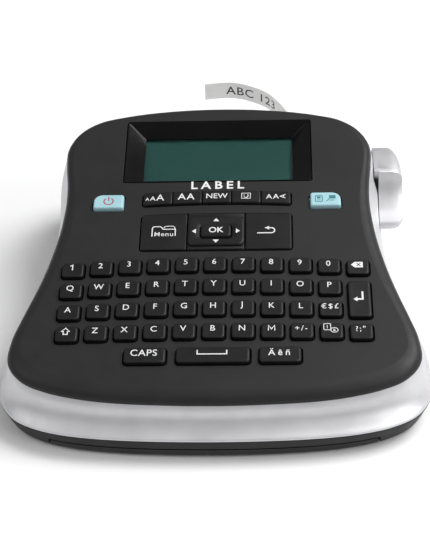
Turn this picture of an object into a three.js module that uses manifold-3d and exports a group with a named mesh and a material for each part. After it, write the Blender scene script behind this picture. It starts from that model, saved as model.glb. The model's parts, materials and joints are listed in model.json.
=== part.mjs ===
// Desktop label maker with a full keyboard, a sunken display, a side cutter lever and a tape cassette.
// Millimetres, +X right, +Y towards the back, +Z up. Everything that lies in the sloped keyboard
// panel is drawn in the panel's own frame (x, y, z) and then tilted, so z = 0 is the cover's face.
import * as THREE from 'three';
import { mergeVertices } from 'three/addons/utils/BufferGeometryUtils.js';
import Module from 'manifold-3d';

const wasm = await Module();
wasm.setup();

// ---------------------------------------------------------------- driving dimensions
const PANEL_SLOPE = THREE.MathUtils.degToRad(12);
const PANEL_ORIGIN = new THREE.Vector3(0, 0.5, 36.3);
const GAP = 0.3;
const WALL = 1.8;
const COVER_PLATE = 2;
const COVER_RIM = -3.8;
const RING_POINTS = 52;
const RING_CENTRE = 10;

const BASE_BOTTOM = 1;
const BASE_TOP = 8.7;
const BASE_FLOOR = 2;
const BAND_BOTTOM = 9;

const KEY_PITCH = 10.7;
const KEY_TOP = 1.5;
const KEY_SIZE = [8.2, 7];
const KEY_BEVEL = [0.6, 0.55];
const KEY_TOP_SHIFT = -0.25;
const HOLE_MARGIN = 0.52;
const FLANGE_TOP = -2.35;
const FLANGE_BOTTOM = -3.35;
const FLANGE_MARGIN = 0.55;
const FIRST_ROW = -0.15;
const SPACE_ROW = -43.35;
const ROW_BOW = [0.00084, 0.0007, 0.00055, 0.00037];

const SHEET_TOP = -4.9;
const BOARD_TOP = -5.6;
const BOARD_THICKNESS = 1.6;

const DISPLAY = { halfWidth: 37.3, front: 44.2, back: 78.7, depth: 4.7 };
const LCD_OPENING = { halfWidth: 30, front: 45.4, back: 73.2 };

const CASSETTE = { left: -31, right: 24, front: 40, back: 84, top: -9.5, bottom: -24, wall: 1.2 };
const TAPE = { width: 9, middle: -16.5, thickness: 0.3 };
const ROLL = { x: -8, y: 62, radius: 16.5, bore: 5 };

const GEAR_MODULE = 0.6;
const GEAR_TOP = -25;
const GEAR_BOTTOM = -27.5;
const CHASSIS_TOP = -28;
const CHASSIS_THICKNESS = 1.5;
const PLATEN = { x: 35.4, y: 76, radius: 3.8, teeth: 16 };
const IDLER = { x: 41, y: 65.39, teeth: 24 };
const PINION = { x: 44, y: 56.27, teeth: 8 };
const SPINDLE = { x: 14, y: 70, radius: 2.4 };

const LEVER_PIVOT = { y: 70, z: 27 };
const LEVER_INNER = 64.8;
const LEVER_OUTER = 74.3;
const POCKET = { inner: 64.4, front: 38.5, back: 84.5, bottom: 11.5, liner: 1.8 };
const SHOULDER_ROOM = { inner: 62.5, front: 54.5, bottom: 30.2, liner: 1.4 };

const BATTERY = { radius: 5.25, length: 44.5, spacing: 11.2, firstRow: -47.9, middle: 8.8 };
const BAY = { halfWidth: 50, front: -53.6, back: -19.8, roof: 15.9, wall: 1.4 };
const BATTERY_DOOR = { halfWidth: 58.5, back: -17, lip: 4.6 };
const CASSETTE_DOOR = { halfWidth: 33, front: 33, back: 86.9, hinge: 86.4, barrel: 1.6, swingRoom: 0.7 };

// The five function keys share one arched strip; the menu key, direction pad and back key share another.
const FUNCTION_STRIP = {
  halfWidth: 28.8, front: 31.8, frontBow: 0.0012, back: 38.4, backBow: 0.0013, top: 1.1, keys: 5,
};
const NAV = {
  halfWidth: 28.9, front: 7.7, frontBow: 0, back: 26.4, backBow: 0.0008, top: 0.6,
  padHalf: 10.9, padTop: 1.7, split: 11.3,
};
const PAD = { front: 9.2, back: 23.6, holeHalfX: 6.2, holeHalfY: 3.5, y: 15.9 };
const PAD_BOOT = { halfX: 7, halfY: 4, bottom: -4.1, top: -3.3 };
const CORNER_KEY = { x: 42.4, y: 32.7, width: 11.9, height: 7.2, top: 1.5, bevel: [0.6, 0.5] };

const JACK = { x: -30, z: 20, radius: 5, hole: 5.3, bore: 2.9, pin: 1 };
const FEET = { foot_front_left: [-66.5, -38], foot_front_right: [66.5, -38], foot_back_left: [-52, 76],
  foot_back_right: [52, 76] };
const FOOT = { radius: 4.5, recess: 0.9 };

const LEVER_HUB = { radius: 4.2, reach: 54, bore: 1.9 };
const SPRING = { x: 58, y: 60.5, bottom: 4.2, top: 20.6, radius: 2.4, wire: 0.5, turns: 4 };
const SHAFT_RADIUS = 1.2;
const IDLER_POST_RADIUS = 1.5;
const WINDOW = { halfWidth: 33, front: 44.4, back: 76, thickness: 0.8 };
const LCD = { halfWidth: 34.5, front: 43.5, back: 77, depth: 1.4, bottom: 3.9 };
const SHEET = { middle: -5.5, width: 113, height: 92, corner: 6, thickness: 0.4 };
const BOARD = { width: 111, height: 90, corner: 3 };
const PRINT_HEAD = { left: 28.2, right: 30.6, front: 71.5, back: 80.5, half: 6 };
const HEAT_SINK = { left: 25, right: 28.4, front: 69.5, back: 82.5, below: 7.5 };
const MOTOR = { radius: 6.4, shaft: 0.7, top: -10 };
const CHASSIS = { left: 8, right: 50, front: 46, back: 83 };
const BLADE = { tip: 34.9, shoulder: 35.9, heel: 39, front: 81.8, back: 82.5, edge: 82.2, half: 5 };

// Half outlines, listed from the middle of the front edge round the right side to the middle of the back.
const COVER_OUTLINE = [
  [0, -62.4], [20, -61.9], [42, -60.1], [60, -55.9], [70.4, -50.2], [74.7, -43], [74.8, -36.5], [71.4, -23],
  [66.9, -8.5], [63.6, 5], [61, 20], [59.8, 37], [60.6, 51], [61.7, 60], [60.9, 67.5], [57, 74.8],
  [50.4, 80.3], [34, 85], [16, 87.3], [0, 87.9],
];
const BAND_OUTLINE = [
  [0, -66.9], [17, -66.6], [35, -65.6], [53, -63.1], [67, -58.2], [75.2, -51.4], [78.6, -43], [79.4, -32],
  [77.9, -17], [73.7, -1], [69.2, 15], [66.9, 30], [66.1, 45], [66.6, 60], [67.2, 72], [65, 84],
  [57, 91.5], [44, 95], [25, 96.6], [0, 97.2],
];

const COLOURS = {
  charcoal: 0x2b2b2d, keyBlack: 0x1d1d1f, gloss: 0x060606, silver: 0xb9bcc0, lcd: 0x2d5049, clear: 0x9fb5b0,
  turquoise: 0x97e1e6, rubber: 0x151515, board: 0x1f5a35, steel: 0xa8abae, brass: 0xb08d3c, tape: 0xf1efe9,
  nylon: 0xd8d6cf, cell: 0x31343a, cassette: 0x3a3b3e, silicone: 0x6b6d70,
};

// ---------------------------------------------------------------- solids and booleans
function toSolid(geometry) {
  const source = geometry.clone();
  source.deleteAttribute('normal');
  source.deleteAttribute('uv');
  const merged = mergeVertices(source, 1e-4);
  return new wasm.Manifold(new wasm.Mesh({
    numProp: 3,
    vertProperties: new Float32Array(merged.attributes.position.array),
    triVerts: new Uint32Array(merged.index.array),
  }));
}

function toGeometry(solid) {
  const mesh = solid.getMesh();
  const geometry = new THREE.BufferGeometry();
  geometry.setAttribute('position', new THREE.BufferAttribute(new Float32Array(mesh.vertProperties), 3));
  geometry.setIndex(new THREE.BufferAttribute(new Uint32Array(mesh.triVerts), 1));
  geometry.computeVertexNormals();
  return geometry;
}

function cut(body, ...tools) {
  return tools.reduce((rest, tool) => rest.subtract(tool), body);
}

function join(...bodies) {
  return bodies.reduce((whole, body) => whole.add(body));
}

function box(xRange, yRange, zRange) {
  const size = [xRange, yRange, zRange].map(([low, high]) => high - low);
  const middle = [xRange, yRange, zRange].map(([low, high]) => (low + high) / 2);
  return toSolid(new THREE.BoxGeometry(...size).translate(...middle));
}

function cylinderZ(radius, x, y, low, high, segments = 16) {
  const geometry = new THREE.CylinderGeometry(radius, radius, high - low, segments);
  return toSolid(geometry.rotateX(Math.PI / 2).translate(x, y, (low + high) / 2));
}

function cylinderX(radius, y, z, low, high, segments = 16) {
  const geometry = new THREE.CylinderGeometry(radius, radius, high - low, segments);
  return toSolid(geometry.rotateZ(Math.PI / 2).translate((low + high) / 2, y, z));
}

// A closed skin through rings of equal point count, with a flat face at each end.
function loft(rings) {
  const count = rings[0].length;
  const positions = rings.flat().flatMap((point) => [point.x, point.y, point.z]);
  const index = [];
  for (let ring = 0; ring < rings.length - 1; ring += 1) {
    for (let i = 0; i < count; i += 1) {
      const j = (i + 1) % count;
      const [a, b] = [ring * count + i, ring * count + j];
      const [c, d] = [b + count, a + count];
      index.push(a, b, c, a, c, d);
    }
  }
  const flat = (ring) => ring.map((point) => new THREE.Vector2(point.x, point.y));
  const last = (rings.length - 1) * count;
  const firstCap = THREE.ShapeUtils.triangulateShape(flat(rings[0]), []);
  const lastCap = THREE.ShapeUtils.triangulateShape(flat(rings[rings.length - 1]), []);
  firstCap.forEach(([a, b, c]) => index.push(a, c, b));
  lastCap.forEach(([a, b, c]) => index.push(last + a, last + b, last + c));
  const geometry = new THREE.BufferGeometry();
  geometry.setAttribute('position', new THREE.Float32BufferAttribute(positions, 3));
  geometry.setIndex(index);
  return toSolid(geometry);
}

// ---------------------------------------------------------------- outlines
function closedOutline(half) {
  const mirrored = half.slice(1, -1).reverse().map(([x, y]) => [-x, y]);
  const points = [...half, ...mirrored].map(([x, y]) => new THREE.Vector3(x, y, 0));
  return new THREE.CatmullRomCurve3(points, true, 'centripetal');
}

function angleOf(point) {
  const angle = Math.atan2(point.x, RING_CENTRE - point.y);
  return angle < 0 ? angle + 2 * Math.PI : angle;
}

// The outline's radius about the ring centre, as a function of the angle from the front.
function radiusFunction(half) {
  const points = closedOutline(half).getSpacedPoints(720).slice(0, -1);
  const table = points.map((point) => [angleOf(point), Math.hypot(point.x, point.y - RING_CENTRE)]);
  table.sort((a, b) => a[0] - b[0]);
  table.unshift([table[table.length - 1][0] - 2 * Math.PI, table[table.length - 1][1]]);
  table.push([table[1][0] + 2 * Math.PI, table[1][1]]);
  return (angle) => {
    const after = table.findIndex((entry) => entry[0] > angle);
    const [before, here] = [table[after - 1], table[after]];
    const part = (angle - before[0]) / (here[0] - before[0]);
    return before[1] + part * (here[1] - before[1]);
  };
}

const coverRadius = radiusFunction(COVER_OUTLINE);
const bandRadius = radiusFunction(BAND_OUTLINE);
const ANGLES = closedOutline(COVER_OUTLINE).getSpacedPoints(RING_POINTS).slice(0, -1).map(angleOf);
const onCircle = (angle, radius, z) =>
  new THREE.Vector3(radius * Math.sin(angle), RING_CENTRE - radius * Math.cos(angle), z);
const panelToBody = new THREE.Matrix4().makeRotationX(PANEL_SLOPE).setPosition(PANEL_ORIGIN);
const inBody = (point) => point.clone().applyMatrix4(panelToBody);

// A rectangle about (x, y) with one radius per corner: right-front, right-back, left-back, left-front.
function roundedRectangle(x, y, width, height, radii, steps = 1) {
  const corners = [[1, -1], [1, 1], [-1, 1], [-1, -1]];
  const points = [];
  corners.forEach(([sx, sy], corner) => {
    const radius = Array.isArray(radii) ? radii[corner] : radii;
    const cx = x + sx * (width / 2 - radius);
    const cy = y + sy * (height / 2 - radius);
    const start = (corner - 1) * (Math.PI / 2);
    for (let step = 0; step <= steps; step += 1) {
      const angle = start + (step / steps) * (Math.PI / 2);
      points.push(new THREE.Vector2(cx + radius * Math.cos(angle), cy + radius * Math.sin(angle)));
    }
  });
  return points;
}

// Grows an outline outwards by a margin in x and y, about the middle of its box.
function grown(outline, marginX, marginY = marginX) {
  const area = new THREE.Box2().setFromPoints(outline);
  const middle = area.getCenter(new THREE.Vector2());
  const size = area.getSize(new THREE.Vector2());
  const scaleX = 1 + (2 * marginX) / size.x;
  const scaleY = 1 + (2 * marginY) / size.y;
  return outline.map((point) => new THREE.Vector2(
    middle.x + (point.x - middle.x) * scaleX,
    middle.y + (point.y - middle.y) * scaleY,
  ));
}

const atHeight = (outline, z, shiftY = 0) =>
  outline.map((point) => new THREE.Vector3(point.x, point.y + shiftY, z));

function prism(outline, low, high) {
  return loft([atHeight(outline, low), atHeight(outline, high)]);
}

// ---------------------------------------------------------------- keys
function keyCap(outline, bottom, top = KEY_TOP, bevel = KEY_BEVEL) {
  return loft([
    atHeight(outline, bottom),
    atHeight(outline, 0.3),
    atHeight(grown(outline, -bevel[0], -bevel[1]), top, KEY_TOP_SHIFT),
  ]);
}

// A key is a bevelled cap on a thin flange that is held under the cover.
function keySolid(outline, top = KEY_TOP, bevel = KEY_BEVEL) {
  const flange = prism(grown(outline, FLANGE_MARGIN + HOLE_MARGIN), FLANGE_BOTTOM, FLANGE_TOP);
  return join(flange, keyCap(outline, FLANGE_TOP - 0.4, top, bevel));
}

function keyOutline(column, row, rows = 1) {
  const x = (column - 5) * KEY_PITCH;
  const rowMiddle = (index) => FIRST_ROW - index * KEY_PITCH - ROW_BOW[index] * x * x;
  const back = rowMiddle(row) + KEY_SIZE[1] / 2;
  const front = rowMiddle(row + rows - 1) - KEY_SIZE[1] / 2;
  return roundedRectangle(x, (front + back) / 2, KEY_SIZE[0], back - front, 1.1);
}

// An outline between two arched edges, from left to right, with a margin all round.
function archedStrip({ front, frontBow, back, backBow }, left, right, spans, margin = 0) {
  const [low, high] = [left - margin, right + margin];
  const stations = Array.from({ length: spans + 1 }, (_, i) => low + (i * (high - low)) / spans);
  return [
    ...stations.map((x) => new THREE.Vector2(x, front - margin - frontBow * x * x)),
    ...stations.reverse().map((x) => new THREE.Vector2(x, back + margin - backBow * x * x)),
  ];
}

const navMiddle = (NAV.front + NAV.back) / 2;
const okOutline = roundedRectangle(0, PAD.y, 11.6, 6.2, 1.2);
const cornerOutline = (side, radii) =>
  roundedRectangle(side * CORNER_KEY.x, CORNER_KEY.y, CORNER_KEY.width, CORNER_KEY.height, radii, 2);
const powerOutline = cornerOutline(-1, [0.9, 0.9, 3.4, 0.9]);
const printOutline = cornerOutline(1, [0.9, 3.4, 0.9, 0.9]);
const spaceOutline = (x, width) => roundedRectangle(x, SPACE_ROW, width, KEY_SIZE[1], 1.1);

const ROW_KEYS = {
  key_row_digits: { row: 0, from: 0 },
  key_row_qwerty: { row: 1, from: 0 },
  key_row_asdf: { row: 2, from: 0 },
  key_row_zxcv: { row: 3, from: 1 },
};
const SINGLE_KEYS = {
  backspace_key: keyOutline(10, 0),
  enter_key: keyOutline(10, 1, 2),
  shift_key: keyOutline(0, 3),
  caps_key: spaceOutline(-24.5, 15),
  space_key: spaceOutline(0, 26.4),
  accents_key: spaceOutline(24.1, 15),
};
const FUNCTION_NAMES = ['text_size_key', 'bold_key', 'new_label_key', 'frame_style_key', 'text_style_key'];

function rowOutlines({ row, from }) {
  return Array.from({ length: 10 }, (_, i) => keyOutline(from + i, row));
}

// Ten caps on one bowed silicone strip, which is held under the cover.
function keyRow(spec) {
  const centres = rowOutlines(spec).map((outline) =>
    new THREE.Box2().setFromPoints(outline).getCenter(new THREE.Vector2()));
  const reach = KEY_SIZE[0] / 2 + FLANGE_MARGIN + HOLE_MARGIN;
  const half = KEY_SIZE[1] / 2 + FLANGE_MARGIN + HOLE_MARGIN;
  const [first, last] = [centres[0], centres[centres.length - 1]];
  const stations = [
    new THREE.Vector2(first.x - reach, first.y),
    ...centres.slice(1, -1),
    new THREE.Vector2(last.x + reach, last.y),
  ];
  const strip = [
    ...stations.map((point) => new THREE.Vector2(point.x, point.y - half)),
    ...stations.reverse().map((point) => new THREE.Vector2(point.x, point.y + half)),
  ];
  const caps = rowOutlines(spec).map((outline) => keyCap(outline, FLANGE_TOP - 0.4));
  return join(prism(strip, FLANGE_BOTTOM, FLANGE_TOP), ...caps);
}

function directionPad() {
  const skirt = archedStrip(NAV, -NAV.padHalf, NAV.padHalf, 4);
  const padHeight = PAD.back - PAD.front;
  const pad = roundedRectangle(0, (PAD.front + PAD.back) / 2, 2 * NAV.padHalf, padHeight, 1.4);
  const raised = loft([
    atHeight(pad, 0),
    atHeight(pad, NAV.padTop - 0.4),
    atHeight(grown(pad, -0.4), NAV.padTop),
  ]);
  const well = box([-PAD.holeHalfX, PAD.holeHalfX], [PAD.y - PAD.holeHalfY, PAD.y + PAD.holeHalfY], [-4, 3]);
  return cut(join(prism(skirt, -3, NAV.top), raised), well);
}

function padBoot() {
  const { halfX, halfY, bottom, top } = PAD_BOOT;
  return box([-halfX, halfX], [navMiddle - halfY, navMiddle + halfY], [bottom, top]);
}

function okKey() {
  return loft([
    atHeight(okOutline, -2),
    atHeight(okOutline, 1.9),
    atHeight(grown(okOutline, -0.5), 2.5),
  ]);
}

// ---------------------------------------------------------------- housing
// How far the cover's face rolls over before its rim: wide at the front, tight behind the display.
const rollWidth = (angle) => 5.2 + 1.8 * Math.cos(angle);

function coverRing(part, z) {
  return ANGLES.map((angle) => onCircle(angle, coverRadius(angle) - part * rollWidth(angle), z));
}

function insetRing(inset, z) {
  return ANGLES.map((angle) => onCircle(angle, coverRadius(angle) - inset, z));
}

function topCover() {
  const blank = loft([
    coverRing(1.1, -COVER_PLATE),
    insetRing(WALL + 0.8, -COVER_PLATE - 0.8),
    insetRing(WALL, COVER_RIM),
    insetRing(0, COVER_RIM),
    coverRing(0.08, -2.4),
    coverRing(0.28, -1.15),
    coverRing(0.62, -0.32),
    coverRing(1, 0),
  ]);
  const [low, high] = [-COVER_PLATE - 2, 1];
  const holes = [
    ...Object.values(ROW_KEYS).flatMap(rowOutlines),
    ...Object.values(SINGLE_KEYS),
    powerOutline,
    printOutline,
  ].map((outline) => grown(outline, HOLE_MARGIN)).concat([
    archedStrip(NAV, -NAV.halfWidth, NAV.halfWidth, 8, HOLE_MARGIN),
    archedStrip(FUNCTION_STRIP, -FUNCTION_STRIP.halfWidth, FUNCTION_STRIP.halfWidth, 10, HOLE_MARGIN),
  ]).map((outline) => prism(outline, low, high));
  const screen = box(
    [-DISPLAY.halfWidth - GAP, DISPLAY.halfWidth + GAP],
    [DISPLAY.front - GAP, DISPLAY.back + GAP],
    [low, high],
  );
  return cut(blank, ...holes, screen);
}

// Cross section of the band, from the cover's rim down to the base. The low front part swells late
// into a shelf, the tall back part swells early and then drops straight.
function bandFlare(down, tallness) {
  const bead = 0.12 * Math.sin(Math.min(down / 0.25, 1) * (Math.PI / 2));
  const shelf = bead + 0.88 * Math.min(down / 0.94, 1) ** 3.4;
  const barrel = Math.sin(Math.min(down / 0.8, 1) * (Math.PI / 2));
  return THREE.MathUtils.lerp(shelf, barrel, tallness);
}

function bandRing(down, inset) {
  return ANGLES.map((angle) => {
    const top = inBody(onCircle(angle, coverRadius(angle) - 0.15 - inset, COVER_RIM - GAP));
    const foot = onCircle(angle, bandRadius(angle) - inset, BAND_BOTTOM);
    const tallness = THREE.MathUtils.clamp((top.z - BAND_BOTTOM - 10) / 24, 0, 1);
    const flare = bandFlare(down, tallness);
    const point = top.clone().lerp(foot, flare);
    point.z = THREE.MathUtils.lerp(top.z, BAND_BOTTOM, down);
    return point;
  });
}

function sideBand() {
  const stations = [0, 0.14, 0.34, 0.56, 0.72, 0.84, 0.93, 1];
  const outer = loft(stations.map((down) => bandRing(down, 0)).reverse());
  const innerStations = [0, 0.4, 0.75, 1];
  const past = 0.6;
  const innerRings = innerStations.map((down) => bandRing(down, WALL));
  innerRings[0].forEach((point) => { point.z += past; });
  innerRings[innerRings.length - 1].forEach((point) => { point.z -= past; });
  const inner = loft(innerRings.reverse());
  const { inner: pocketX, front, back, bottom, liner } = POCKET;
  const { inner: roomX, front: roomFront, bottom: roomBottom, liner: thin } = SHOULDER_ROOM;
  const lined = join(
    box([pocketX - liner, 90], [front - liner, back + liner], [bottom - liner, 60]),
    box([roomX - thin, 90], [roomFront - thin, back + thin], [roomBottom - thin, 60]),
  );
  const pocket = join(
    box([pocketX, 91], [front, back], [bottom, 61]),
    box([roomX, 91], [roomFront, back], [roomBottom, 61]),
  );
  const hubHole = cylinderX(4.6, LEVER_PIVOT.y, LEVER_PIVOT.z, 50, 70);
  return cut(outer, cut(inner, lined), pocket, hubHole, tapeSlot(), jackHole());
}

function tapeSlot() {
  const slot = box([29.4, 33], [84, 104], [TAPE.middle - 6, TAPE.middle + 6]);
  return slot.transform(panelToBody.elements);
}

function jackHole() {
  const geometry = new THREE.CylinderGeometry(JACK.hole, JACK.hole, 20, 24);
  return toSolid(geometry.translate(JACK.x, 98, JACK.z));
}

const baseInset = (angle) => 0.9 + 1.9 * ((bandRadius(angle) * Math.sin(angle)) / 77) ** 2;

function baseRing(part, inset, z) {
  return ANGLES.map((angle) => onCircle(angle, bandRadius(angle) - part * baseInset(angle) - inset, z));
}

function baseOuter() {
  return loft([
    baseRing(1, 1.2, BASE_BOTTOM),
    baseRing(1, 0.35, BASE_BOTTOM + 0.5),
    baseRing(0.85, 0, BASE_BOTTOM + 1.6),
    baseRing(0, 0, BASE_TOP),
  ]);
}

function baseShell() {
  const floor = BASE_BOTTOM + BASE_FLOOR;
  const cavity = loft([
    baseRing(1, WALL + 1.2, floor),
    baseRing(0, WALL, BASE_TOP + 1),
  ]);
  const { halfWidth, front, back, roof, wall } = BAY;
  const ledge = 6;
  const bayHalf = halfWidth + wall;
  const bayOuter = box([-bayHalf, bayHalf], [front - wall, back + ledge], [floor - 0.5, roof]);
  const bayInner = box([-halfWidth, halfWidth], [front, back], [0, roof - wall]);
  const doorRoom = box(
    [-BATTERY_DOOR.halfWidth - GAP, BATTERY_DOOR.halfWidth + GAP],
    [-80, BATTERY_DOOR.back + GAP],
    [0, floor + 0.1],
  );
  const lipRoom = box(
    [-BATTERY_DOOR.halfWidth - GAP, BATTERY_DOOR.halfWidth + GAP],
    [-80, BAY.front - 4],
    [0, BATTERY_DOOR.lip + GAP],
  );
  const { hinge, barrel, swingRoom } = CASSETTE_DOOR;
  const hatch = box(
    [-CASSETTE_DOOR.halfWidth - GAP, CASSETTE_DOOR.halfWidth + GAP],
    [CASSETTE_DOOR.front - GAP, hinge + barrel + swingRoom],
    [0, floor + 1],
  );
  const pinPost = box([50.8, 53.6], [65.5, 74.5], [floor - 0.5, LEVER_PIVOT.z + 4]);
  const pinHole = cylinderX(LEVER_HUB.bore, LEVER_PIVOT.y, LEVER_PIVOT.z, 50, 55);
  const shell = join(cut(baseOuter(), cavity), bayOuter, pinPost);
  return cut(shell, bayInner, doorRoom, lipRoom, hatch, pinHole, ...footRecesses());
}

function batteryDoor() {
  const { halfWidth, back, lip } = BATTERY_DOOR;
  const blank = box([-halfWidth, halfWidth], [-80, back], [0, lip]);
  const inside = box([-halfWidth - 1, halfWidth + 1], [BAY.front - 4.3, back + 1], [BASE_BOTTOM + 1.7, 10]);
  return cut(blank.intersect(baseOuter()), inside);
}

function cassetteDoor() {
  const { halfWidth, front, back, hinge, barrel: barrelRadius } = CASSETTE_DOOR;
  const plate = box([-halfWidth, halfWidth], [front, back], [BASE_BOTTOM, BASE_BOTTOM + BASE_FLOOR - 0.1]);
  const fingerCut = cylinderZ(7, 0, front - 3, 0, 5);
  const barrel = cylinderX(barrelRadius, hinge, BASE_BOTTOM + 1.7, -halfWidth + 4, halfWidth - 4, 16);
  return join(cut(plate, fingerCut), barrel);
}

// ---------------------------------------------------------------- feet

function footRecesses() {
  return Object.values(FEET).map(([x, y]) =>
    cylinderZ(FOOT.radius + GAP, x, y, 0, BASE_BOTTOM + FOOT.recess + GAP));
}

function foot(x, y) {
  const profile = [
    [0, 0], [FOOT.radius - 0.7, 0], [FOOT.radius, 0.5], [FOOT.radius, BASE_BOTTOM + FOOT.recess],
    [0, BASE_BOTTOM + FOOT.recess],
  ].map(([r, z]) => new THREE.Vector2(r, z));
  return toSolid(new THREE.LatheGeometry(profile, 16).rotateX(Math.PI / 2).translate(x, y, 0));
}

// ---------------------------------------------------------------- display
const rectangleRing = (halfWidth, front, back, z) =>
  [[-1, front], [1, front], [1, back], [-1, back]]
    .map(([side, y]) => new THREE.Vector3(side * halfWidth, y, z));

function displayBezel() {
  const { halfWidth, front, back, depth } = DISPLAY;
  const rim = 0.5;
  const block = box([-halfWidth, halfWidth], [front, back], [-depth, 0]);
  const funnel = loft([
    rectangleRing(LCD_OPENING.halfWidth, LCD_OPENING.front, LCD_OPENING.back, -depth - 0.01),
    rectangleRing(halfWidth - rim, front + rim, back - rim, 0.01),
  ]);
  return cut(block, funnel);
}

function displayWindow() {
  const top = -DISPLAY.depth - GAP;
  const { halfWidth, front, back, thickness } = WINDOW;
  return box([-halfWidth, halfWidth], [front, back], [top - thickness, top]);
}

function lcdModule() {
  const range = [-DISPLAY.depth - LCD.bottom, -DISPLAY.depth - LCD.depth];
  return box([-LCD.halfWidth, LCD.halfWidth], [LCD.front, LCD.back], range);
}

// ---------------------------------------------------------------- electronics
function contactSheet() {
  const outline = roundedRectangle(0, SHEET.middle, SHEET.width, SHEET.height, SHEET.corner, 2);
  return prism(outline, SHEET_TOP - SHEET.thickness, SHEET_TOP);
}

function mainBoard() {
  const outline = roundedRectangle(0, SHEET.middle, BOARD.width, BOARD.height, BOARD.corner);
  return prism(outline, BOARD_TOP - BOARD_THICKNESS, BOARD_TOP);
}

function powerJack() {
  const shell = new THREE.CylinderGeometry(JACK.radius, JACK.radius, 13, 24).translate(JACK.x, 89.2, JACK.z);
  const bore = new THREE.CylinderGeometry(JACK.bore, JACK.bore, 10, 16).translate(JACK.x, 91.5, JACK.z);
  const pin = new THREE.CylinderGeometry(JACK.pin, JACK.pin, 9, 12).translate(JACK.x, 89.6, JACK.z);
  return join(cut(toSolid(shell), toSolid(bore)), toSolid(pin));
}

const cellRows = [0, 1, 2].map((row) => BATTERY.firstRow + row * BATTERY.spacing);

function batteryCell(side, y) {
  const { radius, length, middle } = BATTERY;
  const start = side * 2;
  const end = start + side * (length - 1);
  const can = cylinderX(radius, y, middle, Math.min(start, end), Math.max(start, end));
  const nub = cylinderX(2.4, y, middle, Math.min(end, end + side), Math.max(end, end + side), 12);
  return join(can, nub);
}

function batteryContact(side) {
  const x = side * (BAY.halfWidth - 0.8);
  const plate = [side * 0.4 + x, x].sort((a, b) => a - b);
  const strip = box(plate, [BAY.front + 1, BAY.back - 1], [4.2, 13.6]);
  const tongues = cellRows.map((y) => {
    const reach = [x, side * (BATTERY.length + 2 + GAP)].sort((a, b) => a - b);
    return box(reach, [y - 1.5, y + 1.5], [BATTERY.middle - 1.5, BATTERY.middle + 1.5]);
  });
  return join(strip, ...tongues);
}

// ---------------------------------------------------------------- tape path and printer
function cassetteShell() {
  const { left, right, front, back, top, bottom, wall } = CASSETTE;
  const block = prism(roundedRectangle((left + right) / 2, (front + back) / 2, right - left, back - front, 3, 2),
    bottom, top);
  const hollow = box([left + wall, right - wall], [front + wall, back - wall], [bottom + wall, top - wall]);
  const mouth = box([right - 3, right + 2], [front + 4.5, front + 8.5],
    [TAPE.middle - 5.5, TAPE.middle + 5.5]);
  const spindleHole = cylinderZ(3.4, SPINDLE.x, SPINDLE.y, bottom - 1, top - wall - 0.5, 16);
  return cut(block, hollow, mouth, spindleHole);
}

function tapeRoll() {
  const { x, y, radius, bore } = ROLL;
  const [low, high] = [TAPE.middle - TAPE.width / 2, TAPE.middle + TAPE.width / 2];
  return cut(cylinderZ(radius, x, y, low, high, 32), cylinderZ(bore, x, y, low - 1, high + 1, 16));
}

const TAPE_ROUTE = [
  [22.5, 46.6], [26.5, 48.2], [29.6, 53], [31, 60], [31.1, 70], [31.15, 80], [31.1, 90], [28.2, 97],
  [21, 107.6], [12.3, 113.3], [3.7, 115.7], [-7.2, 114.8],
];

function labelTape() {
  const route = new THREE.CatmullRomCurve3(
    TAPE_ROUTE.map(([x, y]) => new THREE.Vector3(x, y, 0)), false, 'centripetal');
  const steps = 32;
  const half = TAPE.thickness / 2;
  const sides = [1, -1].map((side) => route.getSpacedPoints(steps).map((point, i) => {
    const tangent = route.getTangentAt(i / steps);
    return new THREE.Vector2(point.x + side * half * tangent.y, point.y - side * half * tangent.x);
  }));
  const outline = [...sides[0], ...sides[1].reverse()];
  return prism(outline, TAPE.middle - TAPE.width / 2, TAPE.middle + TAPE.width / 2);
}

function printHead() {
  const { left, right, front, back, half } = PRINT_HEAD;
  const head = box([left, right], [front, back], [TAPE.middle - half, TAPE.middle + half]);
  const sinkHeights = [TAPE.middle - HEAT_SINK.below, TAPE.middle + half];
  const sink = box([HEAT_SINK.left, HEAT_SINK.right], [HEAT_SINK.front, HEAT_SINK.back], sinkHeights);
  return join(head, sink);
}

const gearRadius = (teeth) => (GEAR_MODULE * teeth) / 2;

// A spur gear with straight-flanked teeth; phase turns it by a part of one tooth pitch.
function spurGear({ x, y, teeth }, phase) {
  const pitchRadius = gearRadius(teeth);
  const [root, tip] = [pitchRadius - 0.75, pitchRadius + 0.42];
  const outline = [];
  for (let tooth = 0; tooth < teeth; tooth += 1) {
    const marks = [[root, -0.34], [tip, -0.13], [tip, 0.13], [root, 0.34]];
    marks.forEach(([radius, part]) => {
      const angle = ((tooth + phase + part) * 2 * Math.PI) / teeth;
      outline.push(new THREE.Vector2(x + radius * Math.cos(angle), y + radius * Math.sin(angle)));
    });
  }
  return prism(outline, GEAR_BOTTOM, GEAR_TOP);
}

// The phase that puts a gap of the driven gear opposite a tooth of the driving one.
function meshingPhase(driver, driverPhase, driven) {
  const direction = Math.atan2(driven.y - driver.y, driven.x - driver.x);
  const teethToContact = (direction * driver.teeth) / (2 * Math.PI) - driverPhase;
  const back = ((direction + Math.PI) * driven.teeth) / (2 * Math.PI);
  return back + teethToContact + 0.5;
}

const PLATEN_PHASE = 0;
const IDLER_PHASE = meshingPhase(PLATEN, PLATEN_PHASE, IDLER);
const PINION_PHASE = meshingPhase(IDLER, IDLER_PHASE, PINION);

function platenRoller() {
  const rubber = cylinderZ(PLATEN.radius, PLATEN.x, PLATEN.y, TAPE.middle - 5.5, TAPE.middle + 5.5);
  const shaft = cylinderZ(SHAFT_RADIUS, PLATEN.x, PLATEN.y, CHASSIS_TOP - 1, TAPE.middle + 7.5, 16);
  return join(rubber, shaft);
}

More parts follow.
